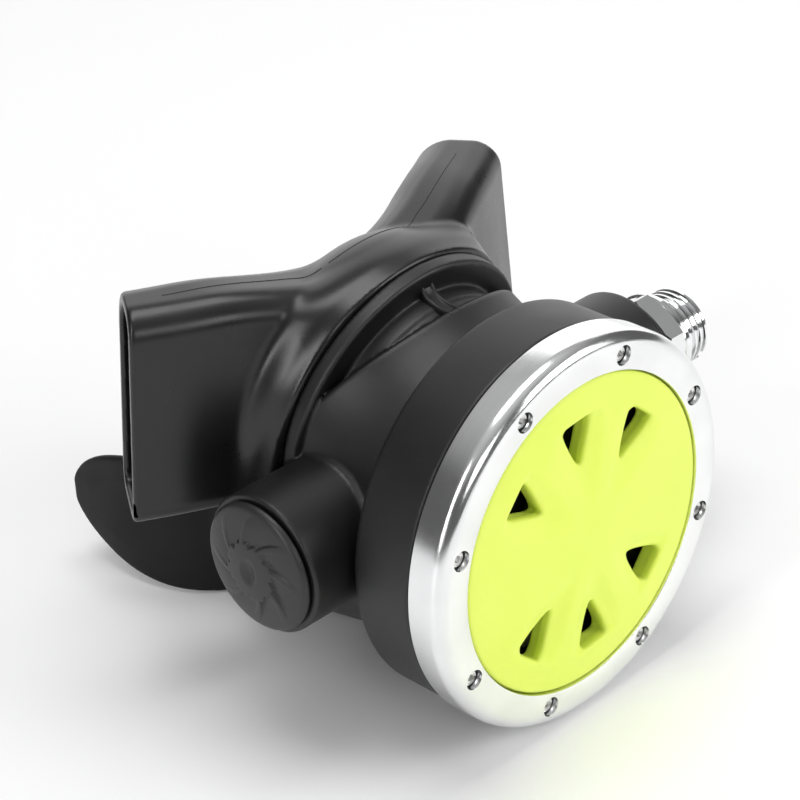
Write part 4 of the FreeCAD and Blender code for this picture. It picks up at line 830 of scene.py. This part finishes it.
def cover_field(x, y, z):
    """The domed plate with its hollows, vents, skirt, flange and plunger."""
    far = np.hypot(x, z)
    front = cover_edge - cover_rise * (1 - (far / cover_radius) ** 2)
    slope = vent_half / (vent_outer - vent_tip)
    sink = np.zeros_like(x)
    vents = np.full_like(x, 50.0)
    for k in vent_places:
        turn = math.radians(vent_first + vent_step * k)
        out = x * math.cos(turn) + z * math.sin(turn)
        aside = z * math.cos(turn) - x * math.sin(turn)
        width = hollow_root_half + (out - hollow_start) * hollow_widening
        width = np.clip(width, hollow_root_half, hollow_widest)
        across_leaf = np.clip(1 - (aside / width) ** 2, 0, 1) ** 1.6
        along_leaf = ease(out, hollow_start, hollow_full) * (1 - ease(out, hollow_close, hollow_end))
        sink = np.maximum(sink, hollow_depth * along_leaf * across_leaf)
        sides = (np.hypot(aside, vent_tip_round) - (out - vent_tip) * slope) / math.hypot(1, slope)
        hole = within(sides, within(out - vent_outer, np.abs(aside) - vent_half, 1.8), 1.4)
        vents = np.minimum(vents, hole)
    plate = within(front + sink - y, y - (front + sink + cover_thick), 0.3)
    plate = within(plate, far - cover_radius, 0.6)
    skirt = between(far, cover_radius - cover_skirt, cover_radius)
    skirt = within(skirt, between(y, cover_edge + skirt_step, skirt_rear), 0.3)
    flange = np.maximum(between(far, cover_radius - cover_skirt, cover_radius + flange_out),
                        between(y, flange_front, flange_rear))
    walls = np.maximum(np.abs(vents - vent_wall / 2) - vent_wall / 2, between(y, cover_edge, vent_wall_rear))
    plunger = within(far - plunger_radius, between(y, cover_edge - 1, plunger_end), 0.4)
    solid = melt(np.minimum(np.minimum(plate, skirt), flange), np.minimum(walls, plunger), 0.4)
    solid = np.maximum(solid, front + sink - y - 0.05)
    return carve(solid, vents, 0.5)


def fluorescent(name):
    """Satin fluorescent plastic: a clean yellow-green with a little depth, a faint mottle and fine grain."""
    material = moulded(name, (0.80, 0.97, 0.12), (0.84, 0.99, 0.15), 3000.0, 0.006, 0.4, 0.48)
    shader = material.node_tree.nodes["Principled BSDF"]
    shader.inputs["Subsurface Weight"].default_value = 0.25
    shader.inputs["Subsurface Radius"].default_value = (1.0, 1.0, 0.3)
    shader.inputs["Subsurface Scale"].default_value = 1.2 * metres_per_mm
    return material


cover_yellow = fluorescent("fluorescent_yellow")
cover = skin("purge_cover_face", cover_field, (-30, -9.5, -30), (30, 1.5, 30), 0.33)
fit(cover, cover_yellow, "cover_yellow", "purge_button", "purge_cover")

# Adjusting knob
# A round black cap at the barrel's blind end, slightly domed, with eight shallow leaf-shaped hollows for grip
# and a thumb dimple in the middle. A groove separates it from the barrel.
knob_radius, shaft_radius = 11.3, 6.1
knob_base, knob_end, shaft_end = -41.1, -44.1, -28.0
face_radius, face_fall = 10.9, 1.9
dimple_wide, dimple_tall, dimple_depth = 1.9, 2.7, 0.7
leaf_count = 8
leaf_depth, leaf_swirl, leaf_share = 0.75, 0.5, 0.84
leaf_start, leaf_span = 4.2, 6.0
leaf_inner, leaf_scallop = 4.3, 0.9


def knob_field(x, y, z):
    """The cap with its leaves and dimple, and the shaft behind it."""
    off, turn = np.hypot(y - barrel_y, z - barrel_z), np.arctan2(z - barrel_z, y - barrel_y)
    step = 2 * math.pi / leaf_count
    share = np.clip((off - leaf_start) / leaf_span, 0, 1)
    turn = (turn - leaf_swirl * share + step / 2) % step - step / 2
    across_leaf = turn / (step / 2)
    inner_end = leaf_inner + leaf_scallop * np.abs(np.sin(across_leaf * math.pi))
    edge = np.minimum((leaf_share - np.abs(across_leaf)) * off * step / 2, off - inner_end)
    leaf = ease(edge, 0.0, 0.3) * (1 - share) * (0.6 + 0.4 * across_leaf)
    face = knob_end + face_fall * (off / face_radius) ** 2 + leaf_depth * leaf
    dimple = np.hypot((y - barrel_y) / dimple_wide, (z - barrel_z) / dimple_tall)
    face = face + dimple_depth * np.clip(1 - dimple ** 2, 0, 1) ** 1.5
    cap = within(within(face - x, off - knob_radius, 0.8), x - knob_base, 0.2)
    shaft = np.maximum(off - shaft_radius, between(x, knob_base - 0.5, shaft_end))
    return np.minimum(cap, shaft)


knob_black = moulded("knob_black", (0.015, 0.015, 0.0155), (0.019, 0.019, 0.0195), 3000.0, 0.01, 0.4, 0.5)
knob = skin("grip_knob", knob_field, (-45, 13, -13), (-27, 40, 14), 0.25)
fit(knob, knob_black, "knob_plastic", "knob", "adjusting_knob")

# Mouthpiece
# One piece of soft matt silicone: an oval sleeve with a groove for the tie, a bulge, a neck and a broad
# shield that curves round in front of the teeth, with two ribbed bite pads and their lugs inside it.
sleeve_wide, sleeve_tall, sleeve_start = 17.7, 12.2, 42.0
tie_start, tie_end = 44.0, 48.4
swell_y = (sleeve_start, tie_start - 0.35, tie_start, tie_end, tie_end + 0.5,
           50.2, 53.5, 56.4, 58.4, 60.5, 64.0)
swell_out = (1.0, 1.1, 0.0, 0.0, 1.1, 1.45, 0.9, 0.35, -1.2, -2.1, -2.4)
shield_front, shield_radius, shield_thick = 60.5, 25.0, 2.3
shield_half_height, shield_flare = 14.0, 1.3
wing_tip = 96.0
arch_centre = shield_front + shield_radius
pad_start, pad_end, pad_half, pad_width = 12.5, 94.0, 2.2, 9.5
pad_bend_radius, pad_bend_length = 18.0, 28.27
lug_end, lug_half, lug_thick = 87.0, 5.0, 2.0
rib_pitch, rib_depth, rib_width = 2.5, 0.35, 0.13
bore_wide, bore_tall, bore_widening, bore_heightening = 11.0, 6.6, 3.0, 2.6
bore_start, funnel_start, funnel_end = 51.9, 55.0, 62.5
socket_wide, socket_tall, socket_end = 15.56, 10.06, 52.0
notch_radius, notch_start = 6.0, 59.0


def mouthpiece_field(x, y, z):
    """The sleeve, shield, bite pads and lugs with the bore through them."""
    height = z - mouth_z
    swell = np.interp(y, swell_y, swell_out)
    tube = oval_gap(x, height, sleeve_wide + swell, sleeve_tall + swell)
    tube = within(tube, between(y, sleeve_start, swell_y[-1]), 0.6)
    arch = np.where(y < arch_centre, np.hypot(x, y - arch_centre), np.abs(x))
    reach = np.clip((y - shield_front) / (wing_tip - shield_front), 0, 1)
    half_height = shield_half_height * np.sqrt(np.clip(1 - reach ** 2.4, 0, 1))
    edge = np.maximum((np.abs(height) - half_height) * 0.8, (y - wing_tip) * 0.8)
    thick = shield_thick * (0.72 + 0.28 * np.clip(-edge / 4, 0, 1))
    flare = shield_flare * ease(np.abs(height), 5, 14) * (1 - ease(reach, 0.2, 0.7))
    shield = within(np.abs(arch - flare - shield_radius + shield_thick / 2) - thick / 2, edge, 1.0)
    inner = shield_radius - shield_thick - pad_width
    pad = np.maximum(between(arch, inner, shield_radius - shield_thick + 0.5), np.abs(height) - pad_half)
    round_bend = pad_bend_radius * np.arctan2(np.abs(x), arch_centre - y)
    along_pad = np.where(y < arch_centre, round_bend, y - arch_centre + pad_bend_length)
    rib = (along_pad % rib_pitch) / rib_pitch - 0.5
    pad = within(pad + rib_depth * np.exp(-(rib / rib_width) ** 2), y - pad_end, 2.5)
    pad = within(pad, pad_start - np.abs(x), 0.8)
    lug = within(between(arch, inner, inner + lug_thick), np.abs(height) - lug_half, 0.9)
    lug = within(within(lug, y - lug_end, 1.8), pad_start - np.abs(x), 0.8)
    body = melt(melt(tube, shield, 4.5), melt(pad, lug, 0.8), 0.9)
    funnel = ease(y, funnel_start, funnel_end)
    bore = oval_gap(x, height, bore_wide + bore_widening * funnel, bore_tall + bore_heightening * funnel)
    bore = np.maximum(bore, bore_start - y)
    socket = np.maximum(oval_gap(x, height, socket_wide, socket_tall), y - socket_end)
    notch_height = height + shield_half_height + notch_radius / 2
    notch = np.maximum(np.hypot(x, notch_height) - notch_radius, notch_start - y)
    return carve(carve(body, np.minimum(bore, socket), 1.1), notch, 1.5)


mouth_black = moulded("matt_silicone", (0.004, 0.004, 0.004), (0.006, 0.006, 0.0059),
                      1900.0, 0.008, 0.55, 0.68)
mouth_black.node_tree.nodes["Principled BSDF"].inputs["Specular IOR Level"].default_value = 0.3
mouthpiece = skin("mouthpiece_silicone", mouthpiece_field, (-28, 41, -36), (28, 98, -5), 0.42)
fit(mouthpiece, mouth_black, "mouth_silicone", "body", "mouthpiece")

# Cable tie
# A black nylon tie pulled tight in the sleeve's groove, with its square head low on the inlet's side and the
# tail cut off flush. The head has a recessed window with the locking pawl inside.
band_out, band_thick = 0.6, 1.04
band_groove_out, band_groove_half, band_groove_edge = 1.15, 0.18, 1.1
head_turn = math.radians(-30.0)
head_width, head_length, head_start, head_thick = 7.4, 8.0, 1.7, 5.6
foot_half_width, foot_start, foot_end = 2.1, -1.0, 2.5
window_half_length, window_half_width, window_floor = 2.6, 2.3, 3.6
pawl_half_length, pawl_half_width, pawl_aside = 1.6, 1.5, 0.4
pawl_start, pawl_end = 2.0, 4.6


def tie_field(x, y, z):
    """The grooved band with its head, window and pawl."""
    height = z - mouth_z
    gap = oval_gap(x, height, sleeve_wide, sleeve_tall)
    band = within(np.abs(gap - band_out) - band_thick / 2, between(y, tie_start, tie_end), 0.35)
    groove = np.maximum(np.abs(gap - band_groove_out) - band_groove_half,
                        between(y, tie_start + band_groove_edge, tie_end - band_groove_edge))
    band = carve(band, groove, 0.15)
    seat_x, seat_z = sleeve_wide * math.cos(head_turn), sleeve_tall * math.sin(head_turn)
    lean = math.atan2(sleeve_wide * math.sin(head_turn), sleeve_tall * math.cos(head_turn))
    out = (x - seat_x) * math.cos(lean) + (height - seat_z) * math.sin(lean)
    aside = np.abs((height - seat_z) * math.cos(lean) - (x - seat_x) * math.sin(lean))
    pawl_place = np.abs((height - seat_z) * math.cos(lean) - (x - seat_x) * math.sin(lean) + pawl_aside)
    middle = np.abs(y - (tie_start + tie_end) / 2)
    foot = within(between(out, foot_start, foot_end), aside - head_length / 2, 0.3)
    foot = within(foot, middle - foot_half_width, 0.3)
    head = within(between(out, head_start, head_thick), aside - head_length / 2, 0.7)
    head = within(head, middle - head_width / 2, 0.7)
    window = within(aside - window_half_length, middle - window_half_width, 0.4)
    window = within(window, window_floor - out, 0.2)
    pawl = within(pawl_place - pawl_half_length, middle - pawl_half_width, 0.3)
    pawl = within(pawl, between(out, pawl_start, pawl_end), 0.3)
    head = np.minimum(carve(head, window, 0.25), pawl)
    lock = np.maximum(melt(foot, head, 0.3), 0.08 - gap)
    return melt(band, lock, 0.3)


tie_black = moulded("tie_nylon", (0.006, 0.006, 0.0062), (0.008, 0.008, 0.0082), 1800.0, 0.006, 0.34, 0.44)
tie = skin("tie_with_head", tie_field, (-20, 41.5, -36), (24, 51, -5), 0.24)
fit(tie, tie_black, "tie_plastic", "body", "cable_tie")
